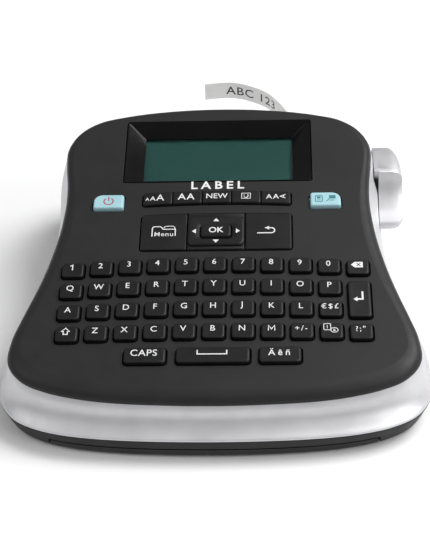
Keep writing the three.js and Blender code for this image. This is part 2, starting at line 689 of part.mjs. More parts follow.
function platenGear() {
  const bore = cylinderZ(SHAFT_RADIUS + GAP, PLATEN.x, PLATEN.y, GEAR_BOTTOM - 1, GEAR_TOP + 1, 16);
  return cut(spurGear(PLATEN, PLATEN_PHASE), bore);
}

function idlerGear() {
  const bore = cylinderZ(IDLER_POST_RADIUS + GAP, IDLER.x, IDLER.y, GEAR_BOTTOM - 1, GEAR_TOP + 1, 16);
  return cut(spurGear(IDLER, IDLER_PHASE), bore);
}

function motorPinion() {
  const shaftHole = cylinderZ(1, PINION.x, PINION.y, GEAR_TOP - 1, GEAR_TOP + 1, 12);
  return cut(spurGear(PINION, PINION_PHASE), shaftHole);
}

function feedMotor() {
  const can = cylinderZ(MOTOR.radius, PINION.x, PINION.y, GEAR_TOP + 1, MOTOR.top, 28);
  const shaft = cylinderZ(MOTOR.shaft, PINION.x, PINION.y, GEAR_TOP - 0.7, GEAR_TOP + 1.5, 12);
  return join(can, shaft);
}

function ribbonSpindle() {
  const post = cylinderZ(SPINDLE.radius, SPINDLE.x, SPINDLE.y, CHASSIS_TOP + GAP, CASSETTE.top - 4, 12);
  const ribs = [0, 1, 2].map((rib) => {
    const angle = (rib * 2 * Math.PI) / 3;
    const geometry = new THREE.BoxGeometry(1.2, 0.8, 8).translate(SPINDLE.radius, 0, 0).rotateZ(angle);
    return toSolid(geometry.translate(SPINDLE.x, SPINDLE.y, CASSETTE.top - 8.5));
  });
  const collar = cylinderZ(4.5, SPINDLE.x, SPINDLE.y, CHASSIS_TOP + GAP, CHASSIS_TOP + 2, 16);
  return join(post, collar, ...ribs);
}

function printChassis() {
  const [low, high] = [CHASSIS_TOP - CHASSIS_THICKNESS, CHASSIS_TOP];
  const plate = box([CHASSIS.left, CHASSIS.right], [CHASSIS.front, CHASSIS.back], [low, high]);
  const idlerPost = cylinderZ(IDLER_POST_RADIUS, IDLER.x, IDLER.y, high - 0.5, GEAR_TOP + 0.5, 16);
  const shaftHole = cylinderZ(SHAFT_RADIUS + GAP, PLATEN.x, PLATEN.y, low - 1, high + 1, 16);
  return cut(join(plate, idlerPost), shaftHole);
}

// ---------------------------------------------------------------- cutter
const LEVER_PROFILE = [
  [79.4, 28], [79.4, 33], [78.4, 37.2], [75.2, 39.8], [66, 40.3], [58.4, 40], [57.5, 39.3], [57.2, 37.9],
  [56.6, 34.8], [54.2, 30.6], [50, 27.2], [46, 25.3], [43.9, 24], [43.7, 22.2], [45.9, 20.2], [56, 17.9],
  [68, 18.7], [76, 22.8],
];
const LEVER_RIDGE = 60;
// Each section: x, how far its outline is drawn in, and how much of its length behind the ridge it keeps.
const LEVER_SECTIONS = [[LEVER_INNER, 0.35, 1], [LEVER_INNER + 0.7, 0, 1], [69.6, 0, 1], [71.4, 0.3, 0.9],
  [72.7, 0.8, 0.75], [73.7, 1.9, 0.6], [LEVER_OUTER, 3.6, 0.5]];
const SHOULDER_PROFILE = [
  [79.1, 33.5], [78.2, 37], [75, 39.6], [66, 40.1], [58.9, 39.8], [58.1, 38.8], [58.8, 35.8], [62, 33.2],
  [76, 32.6],
];
const SHOULDER_SECTIONS = [[62.9, 0.4], [63.5, 0], [66, 0]];

function leverSection(x, inset, keep) {
  const outline = LEVER_PROFILE.map(([y, z]) => {
    const kept = y > LEVER_RIDGE ? LEVER_RIDGE + (y - LEVER_RIDGE) * keep : y;
    return new THREE.Vector2(kept, z);
  });
  return grown(outline, -inset).map((point) => new THREE.Vector3(point.x, point.y, x));
}

function shoulderSection(x, inset) {
  const outline = SHOULDER_PROFILE.map(([y, z]) => new THREE.Vector2(y, z));
  return grown(outline, -inset).map((point) => new THREE.Vector3(point.x, point.y, x));
}

// Turns a solid drawn with (x, y, z) = (body y, body z, body x) into the body's own axes.
const profileToBody = new THREE.Matrix4().set(0, 0, 1, 0, 1, 0, 0, 0, 0, 1, 0, 0, 0, 0, 0, 1);

function cutterLever() {
  const paddle = loft(LEVER_SECTIONS.map((section) => leverSection(...section)))
    .transform(profileToBody.elements);
  const shoulder = loft(SHOULDER_SECTIONS.map((section) => shoulderSection(...section)))
    .transform(profileToBody.elements);
  const { y, z } = LEVER_PIVOT;
  const hub = cylinderX(LEVER_HUB.radius, y, z, LEVER_HUB.reach, LEVER_INNER + 3);
  const crank = box([SPRING.x - 3, SPRING.x + 2.7], [SPRING.y - 3, y - 1], [SPRING.top + GAP, z + 2]);
  const bore = cylinderX(LEVER_HUB.bore, y, z, LEVER_HUB.reach - 1, LEVER_INNER - 2, 16);
  return cut(join(paddle, shoulder, hub, crank), bore);
}

function cutterPin() {
  const { y, z } = LEVER_PIVOT;
  return cylinderX(LEVER_HUB.bore - GAP, y, z, LEVER_HUB.reach - 3, LEVER_INNER - 3, 16);
}

function cutterSpring() {
  class Helix extends THREE.Curve {
    getPoint(t, target = new THREE.Vector3()) {
      const angle = t * SPRING.turns * 2 * Math.PI;
      const z = THREE.MathUtils.lerp(SPRING.bottom + SPRING.wire, SPRING.top - SPRING.wire, t);
      const { x, y, radius } = SPRING;
      return target.set(x + radius * Math.cos(angle), y + radius * Math.sin(angle), z);
    }
  }
  const side = SPRING.wire * 2;
  const wire = new THREE.Shape(roundedRectangle(0, 0, side, side, [0.3, 0.3, 0.3, 0.3]));
  const stepsPerTurn = 10;
  return toSolid(new THREE.ExtrudeGeometry(wire, {
    steps: SPRING.turns * stepsPerTurn, extrudePath: new Helix(), curveSegments: 1,
  }));
}

function cutterBlade() {
  const { tip, shoulder, heel, front, back, edge: edgeY, half } = BLADE;
  const [low, high] = [TAPE.middle - half, TAPE.middle + half];
  const outline = [[tip, edgeY], [shoulder, front], [heel, front], [heel, back], [shoulder, back]];
  const edge = prism(outline.map(([x, y]) => new THREE.Vector2(x, y)), low, high);
  const carrier = box([38, 41], [80.6, 82.8], [low, high - 4]);
  return join(edge, carrier);
}

// ---------------------------------------------------------------- assembly
const FINISHES = {
  charcoal: [COLOURS.charcoal, 0.62, 0], keyBlack: [COLOURS.keyBlack, 0.5, 0], gloss: [COLOURS.gloss, 0.12, 0],
  silver: [COLOURS.silver, 0.35, 0.6], lcd: [COLOURS.lcd, 0.3, 0], clear: [COLOURS.clear, 0.08, 0],
  turquoise: [COLOURS.turquoise, 0.4, 0], rubber: [COLOURS.rubber, 0.85, 0], board: [COLOURS.board, 0.5, 0],
  steel: [COLOURS.steel, 0.35, 1], brass: [COLOURS.brass, 0.4, 1], tape: [COLOURS.tape, 0.5, 0],
  nylon: [COLOURS.nylon, 0.55, 0], cell: [COLOURS.cell, 0.35, 0.4], cassette: [COLOURS.cassette, 0.5, 0],
  silicone: [COLOURS.silicone, 0.8, 0],
};

function part(name, solid, finish) {
  const [color, roughness, metalness] = FINISHES[finish];
  const material = new THREE.MeshStandardMaterial({ color, roughness, metalness });
  const mesh = new THREE.Mesh(toGeometry(solid), material);
  mesh.name = name;
  return mesh;
}

const body = new THREE.Group();
body.add(part('side_band', sideBand(), 'silver'));
body.add(part('base_shell', baseShell(), 'charcoal'));
body.add(part('battery_door', batteryDoor(), 'charcoal'));
body.add(part('cassette_door', cassetteDoor(), 'charcoal'));
body.add(part('power_jack', powerJack(), 'keyBlack'));
body.add(part('cutter_lever', cutterLever(), 'silver'));
body.add(part('cutter_pin', cutterPin(), 'steel'));
body.add(part('cutter_spring', cutterSpring(), 'steel'));
Object.entries(FEET).forEach(([name, [x, y]]) => body.add(part(name, foot(x, y), 'rubber')));
cellRows.forEach((y, row) => {
  body.add(part(`battery_${2 * row + 1}`, batteryCell(-1, y), 'cell'));
  body.add(part(`battery_${2 * row + 2}`, batteryCell(1, y), 'cell'));
});
body.add(part('battery_contact_left', batteryContact(-1), 'steel'));
body.add(part('battery_contact_right', batteryContact(1), 'steel'));

const panel = new THREE.Group();
panel.rotation.x = PANEL_SLOPE;
panel.position.copy(PANEL_ORIGIN);
panel.add(part('top_cover', topCover(), 'charcoal'));
panel.add(part('display_bezel', displayBezel(), 'gloss'));
panel.add(part('display_window', displayWindow(), 'clear'));
panel.add(part('lcd_module', lcdModule(), 'lcd'));
Object.entries(ROW_KEYS).forEach(([name, spec]) => panel.add(part(name, keyRow(spec), 'keyBlack')));
Object.entries(SINGLE_KEYS).forEach(([name, outline]) => panel.add(part(name, keySolid(outline), 'keyBlack')));
FUNCTION_NAMES.forEach((name, i) => {
  const step = (2 * FUNCTION_STRIP.halfWidth) / FUNCTION_STRIP.keys;
  const left = -FUNCTION_STRIP.halfWidth + i * step + (i ? GAP / 2 : 0);
  const right = -FUNCTION_STRIP.halfWidth + (i + 1) * step - (i < FUNCTION_STRIP.keys - 1 ? GAP / 2 : 0);
  const outline = archedStrip(FUNCTION_STRIP, left, right, 2);
  const cap = loft([
    atHeight(outline, FLANGE_BOTTOM),
    atHeight(outline, FUNCTION_STRIP.top - 0.6),
    atHeight(grown(outline, -0.35, -0.4), FUNCTION_STRIP.top),
  ]);
  panel.add(part(name, cap, 'keyBlack'));
});
[['menu_key', -1], ['back_key', 1]].forEach(([name, side]) => {
  const ends = [side * NAV.split, side * NAV.halfWidth].sort((a, b) => a - b);
  const outline = archedStrip(NAV, ...ends, 3);
  const cap = loft([
    atHeight(outline, FLANGE_BOTTOM),
    atHeight(outline, NAV.top - 0.3),
    atHeight(grown(outline, -0.3), NAV.top),
  ]);
  panel.add(part(name, cap, 'keyBlack'));
});
panel.add(part('direction_pad', directionPad(), 'keyBlack'));
panel.add(part('pad_boot', padBoot(), 'silicone'));
panel.add(part('ok_key', okKey(), 'keyBlack'));
panel.add(part('power_key', keySolid(powerOutline, CORNER_KEY.top, CORNER_KEY.bevel), 'turquoise'));
panel.add(part('print_key', keySolid(printOutline, CORNER_KEY.top, CORNER_KEY.bevel), 'turquoise'));
panel.add(part('contact_sheet', contactSheet(), 'silicone'));
panel.add(part('main_board', mainBoard(), 'board'));
panel.add(part('cassette_shell', cassetteShell(), 'cassette'));
panel.add(part('tape_roll', tapeRoll(), 'tape'));
panel.add(part('label_tape', labelTape(), 'tape'));
panel.add(part('print_head', printHead(), 'steel'));
panel.add(part('platen_roller', platenRoller(), 'rubber'));
panel.add(part('platen_gear', platenGear(), 'nylon'));
panel.add(part('idler_gear', idlerGear(), 'nylon'));
panel.add(part('motor_pinion', motorPinion(), 'brass'));
panel.add(part('feed_motor', feedMotor(), 'steel'));
panel.add(part('ribbon_spindle', ribbonSpindle(), 'nylon'));
panel.add(part('print_chassis', printChassis(), 'steel'));
panel.add(part('cutter_blade', cutterBlade(), 'steel'));
body.add(panel);

// The origin is the middle of the bottom of the whole object's box.
const model = new THREE.Group();
model.name = 'label_maker';
body.updateMatrixWorld(true);
const extent = new THREE.Box3().setFromObject(body, true);
body.position.set(-(extent.min.x + extent.max.x) / 2, -(extent.min.y + extent.max.y) / 2, -extent.min.z);
model.add(body);

export default model;
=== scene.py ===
import json
import math

import bmesh
import bpy
import numpy as np
from mathutils import Matrix, Vector


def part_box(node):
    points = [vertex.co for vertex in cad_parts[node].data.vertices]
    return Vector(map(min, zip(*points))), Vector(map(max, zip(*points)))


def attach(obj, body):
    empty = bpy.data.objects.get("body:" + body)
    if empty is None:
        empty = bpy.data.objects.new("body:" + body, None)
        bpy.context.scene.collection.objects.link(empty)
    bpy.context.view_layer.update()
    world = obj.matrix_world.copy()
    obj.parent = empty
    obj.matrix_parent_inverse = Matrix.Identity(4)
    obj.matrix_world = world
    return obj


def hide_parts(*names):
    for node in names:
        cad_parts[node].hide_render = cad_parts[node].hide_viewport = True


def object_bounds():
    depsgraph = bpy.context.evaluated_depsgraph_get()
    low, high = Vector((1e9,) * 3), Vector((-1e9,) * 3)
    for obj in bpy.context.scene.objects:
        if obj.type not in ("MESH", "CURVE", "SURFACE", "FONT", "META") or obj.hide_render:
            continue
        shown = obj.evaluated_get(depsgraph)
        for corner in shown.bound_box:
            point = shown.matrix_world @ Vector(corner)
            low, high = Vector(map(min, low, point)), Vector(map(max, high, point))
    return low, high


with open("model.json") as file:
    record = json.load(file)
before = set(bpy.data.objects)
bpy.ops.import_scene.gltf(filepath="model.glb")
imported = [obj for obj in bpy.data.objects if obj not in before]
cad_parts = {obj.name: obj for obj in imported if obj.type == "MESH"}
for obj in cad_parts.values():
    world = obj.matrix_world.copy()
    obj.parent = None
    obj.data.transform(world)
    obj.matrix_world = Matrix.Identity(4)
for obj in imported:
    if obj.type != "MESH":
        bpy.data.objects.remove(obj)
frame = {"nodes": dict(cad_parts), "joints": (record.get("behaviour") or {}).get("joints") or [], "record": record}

CAD_BOX = [list(corner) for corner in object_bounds()]
MM = 0.001
JOINTS = {joint["name"]: joint for joint in frame["joints"]}
BODY_OF = {node: body for body, nodes in frame["record"]["behaviour"]["bodies"].items() for node in nodes}
SLOT_OF = {part["node"]: part["material_slot"] for part in frame["record"]["subparts"]}


# -------- the sloped panel's own frame
# x to the right, y up the slope, z out of the panel, in mm; z = 0 is the cover's flat face.
NORMAL = -Vector(JOINTS["enter_press"]["axis"]).normalized()
UPHILL = Vector((0, NORMAL.z, -NORMAL.y))


def vertices(node):
    return np.array([v.co for v in frame["nodes"][node].data.vertices], float)


FACE = max(vertices("top_cover") @ np.array(NORMAL))
PIVOT = Vector(JOINTS["pad_up_down"]["pos_m"])
PANEL_ORIGIN = PIVOT + NORMAL * (FACE - PIVOT.dot(NORMAL))


def panel(x, y, z=0.0):
    """A point of the panel's frame, in mm, as a point of the row frame, in metres."""
    return PANEL_ORIGIN + Vector((x * MM, 0, 0)) + UPHILL * (y * MM) + NORMAL * (z * MM)


def on_panel(point):
    return panel(*point)


def panel_points(node, above=-math.inf, below=math.inf):
    """A node's vertices between two heights, in the panel's frame, in mm."""
    offset = vertices(node) - np.array(PANEL_ORIGIN)
    points = np.stack([offset[:, 0], offset @ np.array(UPHILL), offset @ np.array(NORMAL)], 1) / MM
    return points[(points[:, 2] > above) & (points[:, 2] < below)]


def panel_box(node, above=-math.inf, below=math.inf):
    points = panel_points(node, above, below)
    return points.min(0), points.max(0)


# -------- the level frame of the body
BODY_CENTRE = (0.0, -15.6745)         # row frame, mm: the band's and the base's outlines are drawn about it
BODY_SHIFT = BODY_CENTRE[1] - 10      # row frame y of the body frame's y = 0


def on_body(point):
    """A point of the body's level frame, in mm, as a point of the row frame, in metres."""
    x, y, z = point
    return Vector((x * MM, (y + BODY_SHIFT) * MM, z * MM))


def on_row(point):
    """To metres before Vector rounds, as in on_body, so that flush faces stay flush for the cuts."""
    return Vector([value * MM for value in point])


def box_in_mm(node):
    return (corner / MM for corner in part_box(node))


# Places for turned solids, whose own height then runs along x, y or z.
def along_x(y, z, start=0, side=1):
    return lambda p: on_body((start + side * p[2], y + p[0], z + p[1]))


def along_y(x, z):
    return lambda p: on_row((x + p[0], p[2], z + p[1]))


def along_z(x, y):
    return lambda p: on_body((x + p[0], y + p[1], p[2]))


# -------- meshes
SHARP = 35               # degrees between two faces, from which their edge is drawn sharp


def smoothed(obj, angle=SHARP):
    obj.data.shade_smooth()
    obj.data.set_sharp_from_angle(angle=math.radians(angle))
    return obj


def in_scene(name, data):
    obj = bpy.data.objects.new(name, data)
    bpy.context.scene.collection.objects.link(obj)
    return obj


def make_object(name, bm, smooth_angle=SHARP):
    bmesh.ops.recalc_face_normals(bm, faces=bm.faces)
    mesh = bpy.data.meshes.new(name)
    bm.to_mesh(mesh)
    bm.free()
    return smoothed(in_scene(name, mesh), smooth_angle)


def add_loft(bm, rings, place, capped=True):
    """A skin through rings of equal point count; place maps a ring's point to the row frame."""
    rows = [[bm.verts.new(place(point)) for point in ring] for ring in rings]
    count = len(rings[0])
    for low, high in zip(rows, rows[1:]):
        for i in range(count):
            j = (i + 1) % count
            bm.faces.new((low[i], low[j], high[j], high[i]))
    if capped:
        bm.faces.new(rows[0][::-1])
        bm.faces.new(rows[-1])


def loft(name, rings, place, smooth_angle=SHARP):
    bm = bmesh.new()
    add_loft(bm, rings, place)
    return make_object(name, bm, smooth_angle)


def turned(name, profile, place, steps=48):
    """A turned solid; profile holds (radius, height)."""
    turns = [2 * math.pi * i / steps for i in range(steps)]
    return loft(name, [[(r * math.cos(t), r * math.sin(t), z) for t in turns] for r, z in profile], place, 40)


def box_object(name, low, high, place=on_body):
    (x0, y0, z0), (x1, y1, z1) = low, high
    return loft(name, [[(x0, y0, z), (x1, y0, z), (x1, y1, z), (x0, y1, z)] for z in (z0, z1)], place)


def apply_modifiers(obj):
    depsgraph = bpy.context.evaluated_depsgraph_get()
    mesh = bpy.data.meshes.new_from_object(obj.evaluated_get(depsgraph))
    obj.modifiers.clear()
    obj.data = mesh
    return obj


def combine(obj, operation, *others):
    """Joins, cuts or trims obj with closed objects, which are then deleted."""
    for other in others:
        modifier = obj.modifiers.new("combine", "BOOLEAN")
        modifier.operation = operation
        modifier.solver = "EXACT"
        modifier.object = other
    apply_modifiers(obj)
    for other in others:
        bpy.data.objects.remove(other)
    return obj


def subtract(obj, cutters, smooth_angle=SHARP):
    return smoothed(combine(obj, "DIFFERENCE", *cutters), smooth_angle)


def bevelled(obj, width, segments=3):
    modifier = obj.modifiers.new("edges", "BEVEL")
    modifier.width = width * MM
    modifier.segments = segments
    modifier.limit_method = "ANGLE"
    modifier.angle_limit = math.radians(30)
    return smoothed(apply_modifiers(obj), 40)


def weighted_normals(obj):
    modifier = obj.modifiers.new("weights", "WEIGHTED_NORMAL")
    modifier.keep_sharp = True
    modifier.weight = 100
    return apply_modifiers(obj)


# -------- flat outlines, in mm
def rounded_rectangle(x, y, width, height, radii, steps=6):
    """Corner radii run right-front, right-back, left-back, left-front."""
    if not isinstance(radii, (list, tuple)):
        radii = [radii] * 4
    points = []
    for corner, (sx, sy) in enumerate(((1, -1), (1, 1), (-1, 1), (-1, -1))):
        radius = max(min(radii[corner], width / 2 - 0.01, height / 2 - 0.01), 0.01)
        cx = x + sx * (width / 2 - radius)
        cy = y + sy * (height / 2 - radius)
        for step in range(steps + 1):
            angle = (corner - 1 + step / steps) * math.pi / 2
            points.append((cx + radius * math.cos(angle), cy + radius * math.sin(angle)))
    return points


def box_outline(low, high, radius, steps, margin=0.0):
    """A rounded rectangle that stands a margin outside two corners."""
    width, height = (high[i] - low[i] + 2 * margin for i in (0, 1))
    return rounded_rectangle((low[0] + high[0]) / 2, (low[1] + high[1]) / 2, width, height, radius, steps)


def spline(points, steps, closed=False):
    """A Catmull-Rom curve through a short list of points, with so many steps from one to the next."""
    points = [np.array(point, float) for point in points]
    padded = [points[-1], *points, *points[:2]] if closed else [points[0], *points, points[-1]]
    curve = []
    for p0, p1, p2, p3 in zip(padded, padded[1:], padded[2:], padded[3:]):
        for step in range(steps):
            t = step / steps
            curve.append(tuple(0.5 * (2 * p1 + (p2 - p0) * t + (2 * p0 - 5 * p1 + 4 * p2 - p3) * t**2
                                      + (3 * p1 - p0 - 3 * p2 + p3) * t**3)))
    return curve if closed else [*curve, tuple(points[-1])]


def shrunk(outline, x, y=None):
    """An outline drawn in by x and y mm about the middle of its box."""
    points = np.array(outline, float)
    low, high = points.min(0), points.max(0)
    middle = (low + high) / 2
    scale = 1 - 2 * np.array((x, x if y is None else y)) / (high - low)
    return [tuple(point) for point in middle + (points - middle) * scale]


def level(outline, z):
    return [(x, y, z) for x, y in outline]


def stack(outline, profile):
    """The rings of a solid: the outline at each height of the profile, drawn in by its inset."""
    return [level(shrunk(outline, inset), z) for z, inset in profile]


# -------- procedural materials
class Nodes:
    """A small helper that adds shader nodes to one material."""

    def __init__(self, name):
        self.material = bpy.data.materials.new(name)
        self.material.use_nodes = True
        self.tree = self.material.node_tree
        self.shader = self.tree.nodes["Principled BSDF"]
        self.position = self.add("ShaderNodeTexCoord").outputs["Object"]

    def add(self, kind, values=(), **settings):
        """A node with the values of its inputs and its settings."""
        node = self.tree.nodes.new(kind)
        for key, value in settings.items():
            setattr(node, key, value)
        for socket, value in dict(values).items():
            node.inputs[socket].default_value = value
        return node

    def link(self, source, target):
        self.tree.links.new(source, target)

    def shade(self, socket, source):
        """Sets one of the shader's own sockets to a number, or links a node to it."""
        if isinstance(source, (int, float)):
            self.shader.inputs[socket].default_value = source
        else:
            self.link(source, self.shader.inputs[socket])

    def noise(self, scale, detail=4.0, roughness=0.55, stretch=None):
        texture = self.add("ShaderNodeTexNoise", {"Scale": scale, "Detail": detail, "Roughness": roughness})
        source = self.position
        if stretch:
            mapping = self.add("ShaderNodeMapping", {"Scale": stretch})
            self.link(source, mapping.inputs["Vector"])
            source = mapping.outputs["Vector"]
        self.link(source, texture.inputs["Vector"])
        return texture.outputs["Fac"]

    def spread(self, source, low, high, start=0.3, end=0.7):
        """Maps the range from start to end, where most of a noise lies, to the range from low to high."""
        limits = {"From Min": start, "From Max": end, "To Min": low, "To Max": high}
        node = self.add("ShaderNodeMapRange", limits)
        self.link(source, node.inputs["Value"])
        return node.outputs["Result"]

    def blend(self, factor, first, second):
        """Two colours, or nodes, mixed; the Mix node's colour sockets go by number."""
        node = self.add("ShaderNodeMix", data_type="RGBA")
        self.link(factor, node.inputs["Factor"])
        for socket, colour in ((node.inputs[6], first), (node.inputs[7], second)):
            if isinstance(colour, tuple):
                socket.default_value = (*colour, 1)
            else:
                self.link(colour, socket)
        return node.outputs[2]

    def two_tone(self, source, first, second):
        return self.blend(self.spread(source, 0, 1), first, second)

    def bump(self, height, strength, distance):
        """Distance is in mm."""
        node = self.add("ShaderNodeBump", {"Strength": strength, "Distance": distance * MM})
        self.link(height, node.inputs["Height"])
        self.shade("Normal", node.outputs["Normal"])


def worn_edges(nodes):
    """A factor that is 1 on convex edges and 0 elsewhere."""
    geometry = nodes.add("ShaderNodeNewGeometry")
    return nodes.spread(geometry.outputs["Pointiness"], 0, 1, 0.52, 0.60)


def plastic(name, dark, light, worn, roughness, grain, grain_depth, coat=0.0, metallic=0.0, gloss=0.5,
            edge_wear=True):
    """Moulded plastic: cloudy colour, spark-eroded grain and edges or patches polished by handling."""
    nodes = Nodes(name)
    base = nodes.two_tone(nodes.noise(60, 5), dark, light)
    wear = worn_edges(nodes) if edge_wear else nodes.spread(nodes.noise(22, 3), 0, 0.5)
    nodes.shade("Base Color", nodes.blend(wear, base, worn))
    nodes.shade("Roughness", nodes.spread(nodes.noise(140, 3, 0.7), roughness - 0.06, roughness + 0.06))
    nodes.bump(nodes.noise(grain, 2, 0.6), 0.35, grain_depth)
    nodes.shade("Metallic", metallic)
    nodes.shade("Specular IOR Level", gloss)
    nodes.shade("Coat Weight", coat)
    nodes.shade("Coat Roughness", 0.2)
    return nodes.material


def brushed(name, dark, light, roughness, stretch):
    """Metal with fine lines along one axis."""
    nodes = Nodes(name)
    lines = nodes.noise(900, 3, 0.6, stretch)
    nodes.shade("Base Color", nodes.two_tone(lines, dark, light))
    nodes.shade("Roughness", nodes.spread(lines, roughness - 0.08, roughness + 0.1))
    nodes.bump(lines, 0.25, 0.03)
    nodes.shade("Metallic", 1.0)
    return nodes.material


def display_material():
    """A reflective display that is switched off: grey-green with the faint lattice of its dots."""
    nodes = Nodes("lcd_glass")
    dot, gap = 0.5 * MM, 0.06 * MM
    lattice = nodes.add("ShaderNodeTexBrick", {
        "Scale": 1.0, "Mortar Size": gap, "Brick Width": dot, "Row Height": dot,
        "Color1": (0.012, 0.058, 0.052, 1), "Color2": (0.013, 0.061, 0.055, 1),
        "Mortar": (0.017, 0.070, 0.063, 1),
    }, offset=0.0)
    nodes.link(nodes.position, lattice.inputs["Vector"])
    haze = nodes.spread(nodes.noise(35, 3), 0, 0.35)
    nodes.shade("Base Color", nodes.blend(haze, lattice.outputs["Color"], (0.018, 0.076, 0.069)))
    nodes.shade("Roughness", nodes.spread(nodes.noise(220, 2), 0.28, 0.40))
    nodes.shade("Specular IOR Level", 0.15)
    return nodes.material


def window_material():
    nodes = Nodes("clear_window")
    nodes.shade("Transmission Weight", 1.0)
    nodes.shade("IOR", 1.2)
    nodes.shade("Roughness", nodes.spread(nodes.noise(90, 4, 0.7), 0.015, 0.07))
    nodes.shade("Base Color", nodes.two_tone(nodes.noise(20, 2), (0.90, 0.95, 0.94), (0.96, 0.98, 0.97)))
    return nodes.material


def paper_material():
    nodes = Nodes("label_paper")
    fibres = nodes.noise(1500, 4, 0.6)
    nodes.shade("Base Color", nodes.two_tone(fibres, (0.88, 0.88, 0.86), (0.94, 0.93, 0.91)))
    nodes.shade("Roughness", nodes.spread(nodes.noise(200, 2), 0.34, 0.46))
    nodes.bump(fibres, 0.1, 0.02)
    return nodes.material


# Each plastic: dark and light tone, worn tone, roughness, scale and depth (mm) of its grain, and extras.
PLASTICS = {
    "cover_plastic": ((0.01, 0.01, 0.0105), (0.014, 0.014, 0.0145), (0.018, 0.018, 0.0185), 0.5, 2600, 0.06,
                      {"gloss": 0.3, "edge_wear": False}),
    "key_plastic": ((0.006, 0.006, 0.0065), (0.009, 0.009, 0.0095), (0.018, 0.018, 0.019), 0.42, 3200, 0.03,
                    {"gloss": 0.25}),
    "gloss_black": ((0.0015, 0.0015, 0.0018), (0.003, 0.003, 0.0033), (0.008, 0.008, 0.009), 0.16, 700, 0.008,
                    {"coat": 0.12, "gloss": 0.08, "edge_wear": False}),
    "silver_plastic": ((0.58, 0.58, 0.60), (0.65, 0.65, 0.67), (0.70, 0.70, 0.72), 0.48, 3800, 0.02,
                       {"metallic": 0.7}),
    "turquoise_plastic": ((0.31, 0.53, 0.59), (0.38, 0.61, 0.66), (0.50, 0.74, 0.78), 0.38, 3200, 0.03, {}),
    "rubber_black": ((0.015, 0.015, 0.016), (0.026, 0.026, 0.027), (0.035, 0.035, 0.036), 0.82, 1400, 0.09,
                     {}),
    "silicone_grey": ((0.13, 0.135, 0.15), (0.17, 0.175, 0.19), (0.2, 0.205, 0.22), 0.66, 1500, 0.05, {}),
    "board_green": ((0.015, 0.1, 0.04), (0.03, 0.15, 0.07), (0.06, 0.2, 0.1), 0.36, 800, 0.04, {"coat": 0.3}),
    "nylon": ((0.62, 0.6, 0.54), (0.7, 0.68, 0.62), (0.76, 0.74, 0.69), 0.46, 1800, 0.03, {}),
    "cassette_plastic": ((0.05, 0.05, 0.055), (0.07, 0.07, 0.076), (0.1, 0.1, 0.105), 0.45, 2400, 0.04, {}),
    "cell_jacket": ((0.04, 0.045, 0.06), (0.06, 0.066, 0.082), (0.3, 0.3, 0.31), 0.3, 900, 0.01,
                    {"coat": 0.4, "metallic": 0.3}),
}
MATERIALS = {name: plastic(name, *values, **extras) for name, (*values, extras) in PLASTICS.items()}
MATERIALS |= {
    "steel": brushed("steel", (0.36, 0.37, 0.38), (0.50, 0.51, 0.52), 0.34, (1, 0.03, 1)),
    "brass": brushed("brass", (0.46, 0.31, 0.10), (0.56, 0.39, 0.15), 0.32, (1, 1, 0.05)),
    "lcd_glass": display_material(),
    "clear_window": window_material(),
    "label_paper": paper_material(),
}


def ink(name, colour, roughness=0.5):
    """Printed ink with slightly uneven cover."""
    nodes = Nodes(name)
    faded = tuple(0.82 * value for value in colour)
    nodes.shade("Base Color", nodes.two_tone(nodes.noise(900, 4), faded, colour))
    nodes.shade("Roughness", nodes.spread(nodes.noise(1500, 2), roughness - 0.06, roughness + 0.06))
    return nodes.material


WHITE_INK = ink("white_ink", (0.80, 0.80, 0.80))
DARK_INK = ink("dark_ink", (0.012, 0.012, 0.014), 0.4)
RED_INK = ink("red_ink", (0.42, 0.03, 0.06))
TEAL_INK = ink("teal_ink", (0.03, 0.20, 0.22))


def paint(obj, material):
    obj.data.materials.clear()
    obj.data.materials.append(material)


def finish_piece(obj, body, slot, material=None):
    paint(obj, material or MATERIALS[slot])
    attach(obj, body)


def stands_in(obj, node):
    """A detailed piece that takes over a CAD node's body and finish."""
    finish_piece(obj, BODY_OF[node], SLOT_OF[node])
    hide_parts(node)


for node, obj in frame["nodes"].items():
    paint(obj, MATERIALS[SLOT_OF[node]])


# -------- outlines read from the frame
RING_ANGLES = [2 * math.pi * degree / 360 for degree in range(360)]
COVER_CENTRE = (0.0, -6.75)      # panel frame, mm: the cover's outline is drawn about it
COVER_RIM = -3.8                 # the panel frame's height of the cover's lower rim
BAND_BOTTOM = 9.0
WALL = 1.8
GAP = 0.3
SAME_DIRECTION = 0.03            # points closer than this, in radians about the centre, count as one


